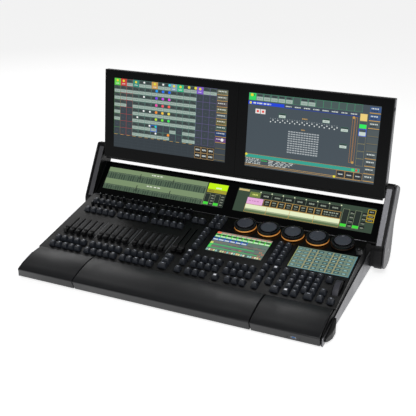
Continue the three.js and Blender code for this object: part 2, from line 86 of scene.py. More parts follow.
# ---------- flat faces of the frame ----------
class Face:
    """The largest flat face of a node that looks at the operator or upwards, or to the rear.

    On a face to the rear, s runs down.
    """

    def __init__(self, node, toward=(0, -1, 1)):
        mesh = NODES[node].data
        toward = Vector(toward)
        facing = [p for p in mesh.polygons if p.normal.dot(toward) > 0.5 and abs(p.normal.x) < 0.05]
        largest = max(facing, key=lambda p: p.area)
        self.normal = largest.normal.copy()
        self.along = self.normal.cross(RIGHT)
        self.level = largest.center.dot(self.normal)
        flat = [p for p in facing if abs(p.center.dot(self.normal) - self.level) < 0.05 * MM]
        corners = [mesh.vertices[i].co for p in flat for i in p.vertices]
        self.start = min(c.dot(self.along) for c in corners)
        self.length = max(c.dot(self.along) for c in corners) - self.start
        self.x0 = min(c.x for c in corners)
        self.x1 = max(c.x for c in corners)

    def at(self, x, s, h=0.0):
        return RIGHT * x + self.along * (self.start + s) + self.normal * (self.level + h)

    def local(self, point):
        return point.x, point.dot(self.along) - self.start, point.dot(self.normal) - self.level


PANEL = Face("control_panel")
SIDES = (("left", -1), ("right", 1))


def middle(node):
    low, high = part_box(node)
    return (low + high) / 2


# ---------- materials ----------
def linear(red, green, blue):
    """An sRGB colour, 0 to 255, as a linear one."""
    def one(value):
        share = value / 255
        return share / 12.92 if share <= 0.04045 else ((share + 0.055) / 1.055) ** 2.4
    return one(red), one(green), one(blue), 1.0


def put(node, **values):
    """Sets a node's sockets. An underscore in a name stands for a space."""
    for name, value in values.items():
        node.inputs[name.replace("_", " ")].default_value = value


def new_material(name):
    material = bpy.data.materials.new(name)
    material.use_nodes = True
    shader = material.node_tree.nodes["Principled BSDF"]
    return material, material.node_tree.nodes, material.node_tree.links, shader


def noise(nodes, links, scale, stretch=(1, 1, 1), detail=3):
    place = nodes.new("ShaderNodeTexCoord")
    mapping = nodes.new("ShaderNodeMapping")
    put(mapping, Scale=stretch)
    texture = nodes.new("ShaderNodeTexNoise")
    put(texture, Scale=scale, Detail=detail)
    links.new(place.outputs["Object"], mapping.inputs["Vector"])
    links.new(mapping.outputs["Vector"], texture.inputs["Vector"])
    return texture.outputs["Fac"]


def remap(nodes, links, source, low, high):
    node = nodes.new("ShaderNodeMapRange")
    put(node, From_Min=0.3, From_Max=0.7, To_Min=low, To_Max=high)
    links.new(source, node.inputs["Value"])
    return node.outputs["Result"]


def surface(name, colour, roughness, metallic=0.0, grain=900, relief=0.15, stretch=(1, 1, 1),
            spread=0.06, sheen=0.5):
    """A solid finish: fine relief from one noise, and broad changes of tone and gloss from another."""
    material, nodes, links, shader = new_material(name)
    colour = linear(*colour)
    put(shader, Metallic=metallic, Specular_IOR_Level=sheen)
    fine = noise(nodes, links, grain, stretch)
    broad = noise(nodes, links, 14)
    gloss = remap(nodes, links, broad, roughness - spread, roughness + spread)
    links.new(gloss, shader.inputs["Roughness"])
    tone = nodes.new("ShaderNodeMix")
    tone.data_type = "RGBA"
    put(tone, A=[c * 0.86 for c in colour[:3]] + [1], B=[c * 1.14 for c in colour[:3]] + [1])
    links.new(fine, tone.inputs["Factor"])
    links.new(tone.outputs["Result"], shader.inputs["Base Color"])
    bump = nodes.new("ShaderNodeBump")
    put(bump, Strength=relief, Distance=0.15 * MM)
    links.new(fine, bump.inputs["Height"])
    links.new(bump.outputs["Normal"], shader.inputs["Normal"])
    return material


def lit(name, strength, gloss=0.12):
    """A lit surface behind clear plastic: its colour is the mesh's own tint."""
    material, nodes, links, shader = new_material(name)
    tint = nodes.new("ShaderNodeVertexColor")
    tint.layer_name = "tint"
    put(shader, Roughness=gloss, Specular_IOR_Level=0.2, Base_Color=(0.01, 0.01, 0.012, 1),
                Emission_Strength=strength)
    links.new(tint.outputs["Color"], shader.inputs["Emission Color"])
    return material


def glow(name, colour, strength, base, metallic=0.0):
    """A lit plastic or a light guide: colour is its light and base its own colour."""
    material, nodes, links, shader = new_material(name)
    colour = linear(*colour)
    ramp = nodes.new("ShaderNodeMix")
    ramp.data_type = "RGBA"
    put(ramp, A=[c * 0.75 for c in colour[:3]] + [1], B=colour)
    links.new(noise(nodes, links, 120), ramp.inputs["Factor"])
    links.new(ramp.outputs["Result"], shader.inputs["Emission Color"])
    put(shader, Emission_Strength=strength, Base_Color=linear(*base), Metallic=metallic, Roughness=0.3)
    return material


METAL = {"metallic": 0.9, "grain": 700, "stretch": (6, 0.25, 0.25), "relief": 0.25}
PAINT = surface("black_paint", (8, 8, 10), 0.5, grain=1600, relief=0.35, sheen=0.14)
PANEL_COAT = surface("panel_coat", (4, 4, 5), 0.33, grain=1800, relief=0.4, sheen=0.2)
PALM = surface("palm_plastic", (22, 23, 26), 0.36, grain=2600, relief=0.3, sheen=0.41)
BRUSHED = surface("brushed_aluminium", (124, 124, 128), 0.38, **METAL)
ARM_STRIP = surface("arm_strip", (124, 124, 128), 0.4, **METAL)
ARM_PLATE = surface("arm_plate", (84, 84, 87), 0.42, **METAL)
BLACK_PLASTIC = surface("black_plastic", (12, 12, 14), 0.42, grain=1500, relief=0.12, sheen=0.28)
KEY_PLASTIC = surface("key_plastic", (42, 46, 54), 0.42, grain=2200, relief=0.1)
# a legend mark, made bright enough to be a painted highlight on the key top too
KEY_LEGEND_AND_HIGHLIGHT = surface("key_legend_and_painted_highlight", (226, 232, 244), 0.35, grain=900, relief=0.02)
# a paler colour for the level wheel's rim: painted highlight
WHEEL_RIM_HIGHLIGHT = surface("wheel_rim_painted_highlight", (62, 62, 70), 0.5, grain=1700, relief=0.15)
KNOB = surface("knob_plastic", (14, 16, 20), 0.28, grain=1900, relief=0.1)
# a paler colour for the dial's rim ring: painted highlight
KNOB_RIM_HIGHLIGHT = surface("knob_rim_painted_highlight", (84, 88, 98), 0.24, grain=1900, relief=0.08)
CAP = surface("fader_cap", (12, 12, 14), 0.34, grain=1900, relief=0.1)
PRINT = surface("panel_print", (66, 66, 70), 0.6, grain=700, relief=0.02)
LABEL = surface("label_strip", (52, 54, 57), 0.5, grain=500, relief=0.04)
# used for the separator lines, and for the pale knob tops, where it is a painted highlight
LINE_AND_HIGHLIGHT = surface("separator_line_and_painted_highlight", (122, 124, 128), 0.4, metallic=0.3, grain=600, relief=0.02)
GLASS = surface("screen_glass", (5, 6, 7), 0.12, grain=60, relief=0.0, spread=0.03, sheen=0.1)
RUBBER = surface("foot_rubber", (20, 20, 20), 0.85, grain=1200, relief=0.6)
BOARD = surface("circuit_board", (20, 70, 34), 0.5, grain=300, relief=0.1)
STEEL = surface("sheet_steel", (150, 152, 156), 0.4, metallic=0.9, grain=500, stretch=(0.3, 5, 5))
GOLD = surface("contact_gold", (200, 160, 90), 0.3, metallic=1.0, grain=900)
BLUE = surface("usb_blue", (20, 112, 190), 0.4, grain=900)
DISPLAY = lit("display", 0.9)
LAMP = glow("key_lamp", (235, 238, 245), 0.6, (120, 120, 124))
AMBER = glow("amber_ring", (232, 156, 78), 0.6, (250, 190, 112), 1.0)
AMBER_DIM = glow("amber_ring_dim", (60, 38, 20), 0.1, (40, 28, 18))


# ---------- meshes ----------
def to_mesh(name, bm):
    mesh = bpy.data.meshes.new(name)
    bm.to_mesh(mesh)
    bm.free()
    return mesh


def make(name, bm, materials, body, replaces=(), sharp=38):
    bmesh.ops.recalc_face_normals(bm, faces=bm.faces)
    mesh = to_mesh(name, bm)
    for material in materials:
        mesh.materials.append(material)
    mesh.polygons.foreach_set("use_smooth", [True] * len(mesh.polygons))
    mesh.set_sharp_from_angle(angle=math.radians(sharp))
    piece = add(name, mesh)
    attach(piece, body)
    if replaces:
        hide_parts(*replaces)
    return piece


def loft(bm, rings, index=0, caps=(True, True)):
    """Skins a list of rings of equally many points, and closes the ends."""
    made = [[bm.verts.new(point) for point in ring] for ring in rings]
    count = len(made[0])
    for lower, upper in zip(made, made[1:]):
        for i in range(count):
            j = (i + 1) % count
            bm.faces.new((lower[i], lower[j], upper[j], upper[i])).material_index = index
    if caps[0]:
        bm.faces.new(list(reversed(made[0]))).material_index = index
    if caps[1]:
        bm.faces.new(made[-1]).material_index = index


def rounded(half_x, half_s, radius, steps=3):
    """Points round a rectangle about the origin, with arcs at its corners."""
    points = []
    for quarter in range(4):
        x = (half_x - radius) * (1 if quarter in (0, 3) else -1)
        s = (half_s - radius) * (1 if quarter in (0, 1) else -1)
        for i in range(steps + 1):
            angle = (quarter + i / steps) * math.pi / 2
            points.append((x + radius * math.cos(angle), s + radius * math.sin(angle)))
    return points


def stack(bm, face, place, half, levels, index=0, caps=(True, True), steps=3):
    """Joins rounded rectangles, in millimetres, one above another about a place (x, s) on a face.

    Each level is its height, how far it grows past half, and its corners' radius.
    """
    x, s = place
    loft(bm, [[face.at(x + a * MM, s + b * MM, h * MM)
               for a, b in rounded(half[0] + grow, half[1] + grow, radius, steps)]
              for h, grow, radius in levels], index, caps)


def block(bm, face, place, half, low, high, radius=0.6, edge=0.3, index=0):
    """A rounded slab with a soft upper edge, in millimetres."""
    levels = [(low, 0, radius), (high - edge, 0, radius), (high, -edge, radius)]
    stack(bm, face, place, half, levels, index)


def lathe(bm, profile, place, segments=64, ridge=0.0, index=0, closed=False):
    """Turns (radius, height) points, in millimetres, round an axis. A third value marks a ridged one.

    place(a, b, h) gives the point, in metres.
    """
    rings = []
    for radius, height, *ridged in profile + (profile[:1] if closed else []):
        ring = []
        for i in range(segments):
            angle = 2 * math.pi * i / segments
            r = (radius - (ridge if ridged and i % 2 else 0)) * MM
            ring.append(place(r * math.cos(angle), r * math.sin(angle), height * MM))
        rings.append(ring)
    loft(bm, rings, index)
    if closed:
        bmesh.ops.remove_doubles(bm, verts=bm.verts, dist=0.01 * MM)


def on(face, x, s):
    """A place for a lathe: upright on a face."""
    return lambda a, b, h: face.at(x + a, s + b, h)


def paint(node, material, edge):
    """Gives a carried-over node its finish, and softens its edges by edge millimetres."""
    piece = NODES[node]
    piece.data.materials.clear()
    piece.data.materials.append(material)
    weld = piece.modifiers.new("weld", "WELD")
    weld.merge_threshold = 0.01 * MM
    if edge:
        bevel = piece.modifiers.new("edge", "BEVEL")
        bevel.width = edge * MM
        bevel.segments = 2
        bevel.limit_method = "ANGLE"
        bevel.angle_limit = math.radians(35)
        bevel.harden_normals = True


# ---------- carried-over nodes ----------
def paint_nodes():
    finishes = {
        "base_tray": (PAINT, 0.4), "rear_cover": (PAINT, 0.3), "control_panel": (PANEL_COAT, 0.25),
        "letterbox_housing": (BLACK_PLASTIC, 0.6), "wing_shell": (BLACK_PLASTIC, 0.8),
        "foot_strip_front": (RUBBER, 1.0), "foot_strip_rear": (RUBBER, 1.0),
        "mainboard": (BOARD, 0), "power_supply": (STEEL, 0.4), "letterbox_glass": (GLASS, 0.2),
        "command_screen_left": (GLASS, 0.3), "command_screen_right": (GLASS, 0.3),
    }
    for side, _ in SIDES:
        finishes["side_rail_" + side] = (BRUSHED, 0.5)
        finishes["pivot_block_" + side] = (BLACK_PLASTIC, 0.8)
        finishes["side_latch_" + side] = (BLACK_PLASTIC, 0.8)
        finishes["arm_" + side] = (BLACK_PLASTIC, 1.4)
        finishes["arm_plate_" + side] = (ARM_PLATE, 0.8)
        finishes["monitor_" + side] = (GLASS, 0.2)
    for node, (material, edge) in finishes.items():
        paint(node, material, edge)


# ---------- palm rests ----------
PALM_DEPTH = 110.5  # from the section's zero to the moulding's rear edge
PALM_CURVES = [
    [(-10.2, 25.6), (-11.9, 29.2), (-11, 31), (-7.6, 32.6)],
    [(-7.6, 32.6), (0, 36.6), (8, 39.3), (18, 42)],
    [(18, 42), (45, 50), (72, 57.8), (PALM_DEPTH, 56.3)],
]
PALM_STEPS = 10
PALM_SKIN = 3.8
PALM_END_RADIUS = 2.6
PALM_SEAM = 0.7  # how far a moulding's end is drawn in beside its neighbour


def bezier(points, t):
    a, b, c, d = (Vector(p) for p in points)
    u = 1 - t
    return a * u ** 3 + b * 3 * u * u * t + c * 3 * u * t * t + d * t ** 3


def palm_section(inset):
    """The moulding's outline in (y, z), drawn in by inset on its outer side."""
    outer = [Vector((0, 1)), Vector((-5.1, 13.3)), Vector(PALM_CURVES[0][0])]
    for curve in PALM_CURVES:
        outer += [bezier(curve, i / PALM_STEPS) for i in range(1, PALM_STEPS + 1)]
    inward = []
    for i in range(len(outer)):
        run = outer[min(i + 1, len(outer) - 1)] - outer[max(i - 1, 0)]
        inward.append(Vector((run.y, -run.x)).normalized())
    inner = [p + n * PALM_SKIN for p, n in zip(outer, inward)]
    return [p + n * inset for p, n in zip(outer, inward)] + inner[::-1]


def make_palm_rests():
    low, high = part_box("palm_rest_center")
    front_y = high.y - PALM_DEPTH * MM
    base_z = low.z - 1 * MM
    angles = [i / 4 * math.pi / 2 for i in range(5)]
    stations = [(PALM_END_RADIUS * (1 - math.cos(turn)), PALM_END_RADIUS * (1 - math.sin(turn)))
                for turn in angles]
    for side in ("left", "center", "right"):
        node = "palm_rest_" + side
        x0, x1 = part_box(node)[0].x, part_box(node)[1].x
        if side != "left":
            x0 += PALM_SEAM * MM
        if side != "right":
            x1 -= PALM_SEAM * MM
        bm = bmesh.new()
        ends = [(x0 + a * MM, inset) for a, inset in stations]
        ends += [(x1 - a * MM, inset) for a, inset in reversed(stations)]
        loft(bm, [[Vector((x, front_y + p.x * MM, base_z + p.y * MM)) for p in palm_section(inset)]
                  for x, inset in ends])
        piece = make("palm_moulding_" + side, bm, [PALM], "base", [node])
        if side == "right":
            cut_usb(piece)


def cut_usb(piece):
    low, high = (Vector(corner) for corner in OPENINGS["usb_port"])
    bm = bmesh.new()
    bmesh.ops.create_cube(bm, size=1)
    cutter = add("usb_cutter", to_mesh("usb_cutter", bm))
    cutter.location = (low + high) / 2
    cutter.scale = high - low
    bpy.context.view_layer.update()
    boolean = piece.modifiers.new("usb", "BOOLEAN")
    boolean.object = cutter
    boolean.solver = "EXACT"
    graph = bpy.context.evaluated_depsgraph_get()
    result = bpy.data.meshes.new_from_object(piece.evaluated_get(graph))
    piece.modifiers.clear()
    piece.data = result
    bpy.data.objects.remove(cutter)


BAND_RUN = Vector((0, -10.2, 24.6)).normalized()  # up the front band of the palm rests
BAND_OUT = Vector((0, -24.6, -10.2)).normalized()
USB_SCREWS = (392, 427)


def on_band(x, z, a=0.0, b=0.0, h=0.0):
    """A point on the front band, beside the place at x and height z."""
    low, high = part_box("palm_rest_center")
    foot = Vector((x, high.y - PALM_DEPTH * MM, low.z))
    return foot + BAND_RUN * ((z - low.z) / BAND_RUN.z + b) + RIGHT * a + BAND_OUT * h


def make_usb():
    """A metal shell with its blue tongue, a rim round it, and a small screw on each side."""
    low, high = (Vector(corner) for corner in OPENINGS["usb_port"])
    centre = (low + high) / 2
    half = (high - low) / 2
    back = high.y - 1 * MM
    front = on_band(centre.x, centre.z).y + 1.6 * MM

    def ring(wide, tall, y, radius=0.6, steps=2):
        return [Vector((centre.x + a, y, centre.z + b))
                for a, b in rounded(half.x * wide, half.z * tall, radius * MM, steps)]
    bm = bmesh.new()
    loft(bm, [ring(0.97, 0.97, back), ring(0.97, 0.97, front), ring(0.84, 0.84, front),
              ring(0.84, 0.84, back - 1 * MM)])
    loft(bm, [ring(0.8, 0.6, y, 0.4, 1) for y in (back - 1 * MM, front + 0.4 * MM)], 1)
    levels = [(0.3, -0.1), (0.3, 0.3), (1.0, 0.3), (1.3, -0.1)]
    loft(bm, [[on_band(centre.x, centre.z, a, b, h * MM)
               for a, b in rounded(half.x + grow * MM, half.z + grow * MM, 0.8 * MM, 2)]
              for grow, h in levels], caps=(False, False))
    for x in USB_SCREWS:
        lathe(bm, [(0.3, 0.3), (1.5, 0.4), (1.8, -0.2)],
              lambda a, b, h, x=x * MM: on_band(x, centre.z, a, b, h), 16, index=2)
    make("usb_socket", bm, [STEEL, BLUE, RUBBER], "base")


# ---------- keys ----------
KEY_FLARE = 3.8  # how far a key's foot stands out past its top, each side
KEY_FOOT = -2.6  # below the panel's face
LIT_KEYS = [(117.4, 27), (273, 117), (335.5, 27), (-5.5, 115)]


def key_tops(node):
    """(x0, x1, s0, s1, h) of each keycap's flat top."""
    mesh = NODES[node].data
    high = max(PANEL.local(v.co)[2] for v in mesh.vertices)
    tops = set()
    for polygon in mesh.polygons:
        corners = [PANEL.local(mesh.vertices[i].co) for i in polygon.vertices]
        if min(c[2] for c in corners) > high - 0.1 * MM:
            xs = [c[0] for c in corners]
            ss = [c[1] for c in corners]
            tops.add(tuple(round(v, 4) for v in (min(xs), max(xs), min(ss), max(ss))))
    return sorted(tops), high


def is_lit(x, s):
    return any(abs(x - a * MM) < 4 * MM and abs(s - b * MM) < 4 * MM for a, b in LIT_KEYS)


def keycap(bm, place, half, high, lamp):
    """Flared sides, a rounded shoulder and a shallow dish, with a short legend at the rear of the top, made bright
    as a painted highlight on the key's top.
    """
    stack(bm, PANEL, place, half, [
        (KEY_FOOT, KEY_FLARE, 0.8), (0.8, KEY_FLARE * 0.96, 0.8), (high - 0.7, 0.4, 0.9),
        (high - 0.2, 0.12, 0.9), (high, -0.3, 0.8), (high - 0.55, -2.2, 0.8)])
    if lamp:
        block(bm, PANEL, place, (half[0] * 0.62, half[1] * 0.5), high - 0.6, high - 0.12, 0.2, 0.05, 2)
    else:
        # the pale legend dash: part print, part painted highlight
        rear = place[0], place[1] + half[1] * 0.55 * MM
        block(bm, PANEL, rear, (half[0] * 0.4, 0.65), high - 0.6, high + 0.05, 0.3, 0.1, 1)


def make_keys():
    for node in [n for n in NODES if n.startswith("key_bank_")]:
        bm = bmesh.new()
        tops, high = key_tops(node)
        for x0, x1, s0, s1 in tops:
            x, s = (x0 + x1) / 2, (s0 + s1) / 2
            half = (x1 - x0) / 2 / MM, (s1 - s0) / 2 / MM
            keycap(bm, (x, s), half, high / MM, is_lit(x, s))
        make(node.replace("key_bank", "keys"), bm, [KEY_PLASTIC, KEY_LEGEND_AND_HIGHLIGHT, LAMP], node, [node])


# ---------- faders ----------
def make_fader(node):
    """A saddle cap with finger ribs and an index line, on a flat blade."""
    x = PANEL.local(middle(node))[0]
    corners = [PANEL.local(v.co) for v in NODES[node].data.vertices]
    on_top = [c for c in corners if c[2] > 1 * MM]
    s0, s1 = min(c[1] for c in on_top), max(c[1] for c in on_top)
    s = (s0 + s1) / 2
    half = (s1 - s0) / 2 / MM
    width = (max(c[0] for c in on_top) - min(c[0] for c in on_top)) / 2 / MM
    steps = [(half - 1.0 - 0.35 * i, 5.0 + 1.4 * i) for i in range(5)]
    section = [(-half, 2.0), (half, 2.0), (half - 0.4, 4.0)] + steps
    for i in range(13):
        t = 1 - i / 6
        section.append((t * (half - 3.2), 9.6 + 2.9 * abs(t) ** 1.8))
    section += [(-b, h) for b, h in reversed(steps)] + [(-half + 0.4, 4.0)]
    bm = bmesh.new()
    loft(bm, [[PANEL.at(x + a * MM, s + b * share * MM, (2 + (h - 2) * share) * MM) for b, h in section]
              for a, share in [(-width, 0.93), (-width + 0.7, 1), (width - 0.7, 1), (width, 0.93)]])
    block(bm, PANEL, (x, s), (0.9, 4), -14, 3)
    block(bm, PANEL, (x, s), (width * 0.92, 0.45), 9, 9.9, 0.1, 0.05, 1)
    for side in (-1, 1):
        for i in range(3):
            rib = x, s + side * (half - 4.6 - 1.5 * i) * MM
            block(bm, PANEL, rib, (width * 0.8, 0.3), 9.5, 12.3 - 0.6 * i, 0.1, 0.1)
    make("cap_" + node, bm, [CAP, PRINT], node, [node])


# ---------- encoders and other turned pieces ----------
WHEEL = [(6.3, -7), (9.3, -7), (9.3, 1.7), (33.4, 1.7), (34, 2.4), (34, 7), (35.6, 7.8), (36, 8.6, 1),
         (35.8, 13.2, 1), (35.2, 14.8), (34, 15.5), (31.5, 15.6), (29.6, 15.4), (28.6, 14.8),
         (27.8, 13.1), (6.3, 13.1)]
DIAL = [(5.5, -8.9), (5.5, 13.5), (25.2, 13.5), (26.1, 14.2, 1), (26.3, 15, 1), (25.8, 16.8, 1),
        (25, 17.7), (24, 17.9), (23, 17.5), (22.1, 16.6), (21.4, 15.7), (20.2, 15.2), (12, 15), (0.5, 15)]
CROWN = [(22.2, 16.6), (23, 17.6), (24, 18.1), (25.1, 17.8), (25.3, 17.2)]  # a paler ring on the dial's rim: painted highlight, standing in for the light crescents on the rim
RING = [(34.3, 3), (35.4, 3), (35.8, 3.6), (35.8, 6.2), (35.4, 6.8), (34.3, 6.8)]


def make_encoders():
    for i in range(1, 6):
        pivot = Vector(JOINTS[f"encoder_wheel_{i}"]["pos_m"])
        x, s, _ = PANEL.local(pivot)
        for kind, profile, ridge in (("wheel", WHEEL, 0.45), ("knob", DIAL, 0.3)):
            node = f"encoder_{kind}_{i}"
            bm = bmesh.new()
            lathe(bm, profile, on(PANEL, x, s), 144, ridge)
            if kind == "knob":
                # the rim ring in the paler colour: painted highlight on the dial
                lathe(bm, CROWN, on(PANEL, x, s), 96, index=1, closed=True)
            make("turned_" + node, bm, [KNOB, KNOB_RIM_HIGHLIGHT], node, [node])
        bm = bmesh.new()
        lathe(bm, RING, on(PANEL, x, s), 96, closed=True)
        make(f"light_ring_{i}", bm, [AMBER_DIM if i == 5 else AMBER], "base")


def make_level_wheel():
    """A turned body with a paler band round its rim: the paler colour is a painted highlight."""
    pivot = Vector(JOINTS["level_wheel"]["pos_m"])
    low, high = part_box("level_wheel")
    radius, half = (high.z - low.z) / 2 / MM, (high.x - low.x) / 2 / MM
    rim = radius - 0.8
    body = [(radius * 0.3, half), (radius - 2.4, half), (rim, half - 1.6)]
    # the rim band, in the paler colour: painted highlight
    rim_highlight = [(rim - 0.6, half - 2), (rim + 0.4, half - 2.2), (radius, half - 4)]

    def place(a, b, h):
        return pivot + RIGHT * h + PANEL.along * a + PANEL.normal * b
    bm = bmesh.new()
    for index, half_profile in enumerate((body, rim_highlight)):
        profile = [(r, -h) for r, h in half_profile] + half_profile[::-1]
        lathe(bm, profile, place, 120, index=index, closed=index == 1)
    make("turned_level_wheel", bm, [BLACK_PLASTIC, WHEEL_RIM_HIGHLIGHT], "level_wheel", ["level_wheel"])


ROTARY = [(4.6, 0), (5.6, 0.5), (5.4, 2, 1), (4.5, 12.2, 1), (4.1, 13.4), (3.2, 13.9), (0.4, 13.8)]
# a pale cap on each small knob's top: painted highlight
ROTARY_TOP = [(2.2, 13.6), (2.1, 14.3), (1.6, 14.6), (0.3, 14.7)]
ROTARY_ROWS = (269 * MM, 324 * MM)
LAMP_KNOB = Vector((478, 272)) * MM  # the knob that dims the desk's lamps
LAMP_KNOB_SCALE = 2.1


def rotary(bm, x, s, scale=1.0):
    lathe(bm, [(r * scale, *rest) for r, *rest in ROTARY], on(PANEL, x, s), 40, 0.25)
    # the pale top cap: painted highlight
    lathe(bm, ROTARY_TOP, on(PANEL, x, s), 20, index=1)


def make_rotaries():
    """Small knobs in front of and behind the rear executor keys, in line with them, each with a pale top cap that
    is a painted highlight.
    """
    tops, _ = key_tops("key_bank_executor_rear")
    bm = bmesh.new()
    for x in sorted({round((x0 + x1) / 2, 4) for x0, x1, _, _ in tops}):
        for s in ROTARY_ROWS:
            rotary(bm, x, s)
    rotary(bm, LAMP_KNOB.x, LAMP_KNOB.y, LAMP_KNOB_SCALE)
    make("small_rotaries", bm, [KNOB, LINE_AND_HIGHLIGHT], "base")


# ---------- printing and trim on the panel ----------
SUNK = -0.05  # the foot of each raised print, just below the panel's face
FADER_MIDDLE, FADER_HALF = 139, 47  # the fader area on the panel, along s
KEY_LINE = 86  # the line in front of the faders


def frame_line(bm, place, half, width, radius, high):
    """A thin raised outline of a rounded rectangle on the panel."""
    stack(bm, PANEL, place, half, [(SUNK, 0, radius), (high, 0, radius), (high, -width, radius - width),
                                   (SUNK, -width, radius - width)], caps=(False, False), steps=5)


def make_panel_print():
    places = sorted(PANEL.local(middle(n))[0] for n in NODES if n.startswith("fader_"))
    pitch = places[1] - places[0]
    s_mid = FADER_MIDDLE * MM
    outlines, labels, gaskets, lines = (bmesh.new() for _ in range(4))
    for x in places:
        frame_line(outlines, (x, s_mid), (pitch / 2 / MM - 1.2, FADER_HALF), 0.45, 5, 0.12)
        block(labels, PANEL, (x + 6.6 * MM, 141 * MM), (2.7, 36), SUNK, 0.16, 1, 0.05)
        for i in range(11):
            block(labels, PANEL, (x - 4.4 * MM, (106 + i * 7) * MM), (1.6 if i % 5 else 2.4, 0.2),
                  SUNK, 0.2, 0.08, 0.02, 1)
        for side in (-1, 1):
            block(gaskets, PANEL, (x + side * 2.35 * MM, s_mid + 2 * MM), (1.2, 38), SUNK, 0.3, 0.5, 0.1)
    for left, right in zip(places[4::5], places[5::5] + [middle("master_fader_a").x]):
        block(lines, PANEL, ((left + right) / 2, s_mid), (0.6, FADER_HALF), SUNK, 0.5, 0.4, 0.1)
    half_x = (places[-1] - places[0] + pitch) / 2 / MM
    front = (places[0] + places[-1]) / 2, KEY_LINE * MM
    rear = 0, PANEL.length - 1.4 * MM
    block(lines, PANEL, front, (half_x, 0.35), SUNK, 0.15, 0.2, 0.03, 2)
    block(lines, PANEL, rear, (PANEL.x1 / MM - 4, 0.8), SUNK, 1.4, 0.4, 0.3, 1)
    make("fader_outlines", outlines, [PRINT], "base")
    make("fader_labels", labels, [LABEL, PRINT], "base")
    make("fader_gaskets", gaskets, [RUBBER], "base")
    make("panel_lines", lines, [LINE_AND_HIGHLIGHT, BRUSHED, PRINT], "base")


SCREW_INSET, SCREW_FIRST, SCREW_PITCH = 3.5, 14, 76


def make_screws():
    """Countersunk screws along the panel's two sides."""
    bm = bmesh.new()
    for side in (-1, 1):
        for i in range(5):
            place = on(PANEL, side * (PANEL.x1 - SCREW_INSET * MM), (SCREW_FIRST + i * SCREW_PITCH) * MM)
            lathe(bm, [(0.4, 0.15), (1.9, 0.35), (2.1, 0.1), (2.1, -0.05)], place, 20)
    make("panel_screws", bm, [BLACK_PLASTIC], "base")


# ---------- arms and wing trim ----------
def make_arm_strips():
    for side, sign in SIDES:
        face = Face("arm_" + side)
        place = (face.x0 + face.x1) / 2 - sign * 1.8 * MM, face.length * 0.485
        half = (face.x1 - face.x0) / 2 / MM - 3, face.length * 0.48 / MM
        bm = bmesh.new()
        block(bm, face, place, half, -0.2, 0.5, 1.2, 0.25)
        make("arm_strip_" + side, bm, [ARM_STRIP], "screen_frame")


def make_arm_screws():
    for side, sign in SIDES:
        outer = max(abs(corner.x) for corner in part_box("arm_plate_" + side))
        bm = bmesh.new()
        for child in ("screen_frame", "monitor_wing"):
            pivot = Vector(JOINTS[child]["pos_m"])
            lathe(bm, [(0.4, 0.9), (5.2, 0.9), (6.2, 0.5), (6.2, -0.2)],
                  lambda a, b, h: Vector((sign * (outer + h), pivot.y + a, pivot.z + b)), 32)
        make("arm_screws_" + side, bm, [STEEL], "screen_frame")


# sections in millimetres: a side strip's (out, depth), and a strike's and the lip's (up the display, depth)
STRIP_SECTION = [(-0.3, -8), (0.5, -8), (0.5, -22), (-0.3, -22)]
STRIKE_SECTION = [(-5, -6), (5, -6), (5, -16), (-5, -16)]
LIP_SECTION = [(-1.5, -4), (-9.2, -4), (-10.8, -5.6), (-10.8, -9.4), (-9.2, -11), (-1.5, -11)]


def make_wing_trim():
    """A light strip down each side, strikes that catch the folded wing, and a lip under its front edge."""
    face = Face("monitor_right")
    strikes, lip = bmesh.new(), bmesh.new()
    for side, sign in SIDES:
        edge = sign * (face.x1 + 2.8 * MM)
        bm = bmesh.new()
        loft(bm, [[face.at(edge + sign * a * MM, s, h * MM) for a, h in STRIP_SECTION]
                  for s in (48 * MM, face.length - 2 * MM)])
        make("wing_side_strip_" + side, bm, [BRUSHED], "monitor_wing")
        loft(strikes, [[face.at(sign * (face.x1 + out * MM), face.length * 0.9 + s * share * MM, h * MM)
                        for s, h in STRIKE_SECTION] for out, share in ((3.82, 1), (4.48, 0.7))])
    loft(lip, [[face.at(sign * (face.x1 - 2 * MM), s * MM, h * MM) for s, h in LIP_SECTION]
               for sign in (-1, 1)])
    make("wing_strikes", strikes, [BLACK_PLASTIC], "monitor_wing")
    make("wing_lip", lip, [BLACK_PLASTIC], "monitor_wing")


VENT_PITCH = 7 * MM
COVER_SCREW_INSET = 9 * MM


def make_wing_back():
    """Two screwed cover plates on the back of the wing, with a row of vents over each."""
    face = Face("wing_shell", toward=(0, 1, 0))
    half_x, half_s = face.x1 * 0.4, face.length * 0.27
    for side, sign in SIDES:
        x, s = sign * face.x1 * 0.5, face.length * 0.58
        bm = bmesh.new()
        block(bm, face, (x, s), (half_x / MM, half_s / MM), -0.3, 1.4, 6, 0.5)
        for a in (-1, 0, 1):
            for b in (-1, 1):
                corner = on(face, x + a * (half_x - COVER_SCREW_INSET),
                            s + b * (half_s - COVER_SCREW_INSET))
                lathe(bm, [(0.4, 1.8), (2.8, 1.8), (3.3, 1.2)], corner, 20, index=1)
        make("wing_cover_" + side, bm, [PAINT, STEEL], "monitor_wing")
        bm = bmesh.new()
        for i in range(-22, 23):
            block(bm, face, (x + i * VENT_PITCH, face.length * 0.2), (1.4, 14), -0.1, 0.25, 1.2, 0.05)
        make("wing_vents_" + side, bm, [RUBBER], "monitor_wing")


# ---------- rear sockets ----------
ROUND_SOCKET = [(10.6, -14), (10.8, -1), (12.6, 0.1), (12.4, 1.4), (9.6, 1.6), (9.2, -13)]
ROUND_PIN = [(1.1, -13), (1.1, -3), (0.4, -2.4)]
SQUARE_SOCKET = [(1.6, 0.05), (1.4, 1.1), (-0.4, 1.1), (-0.6, -13)]  # growth and height of its rings


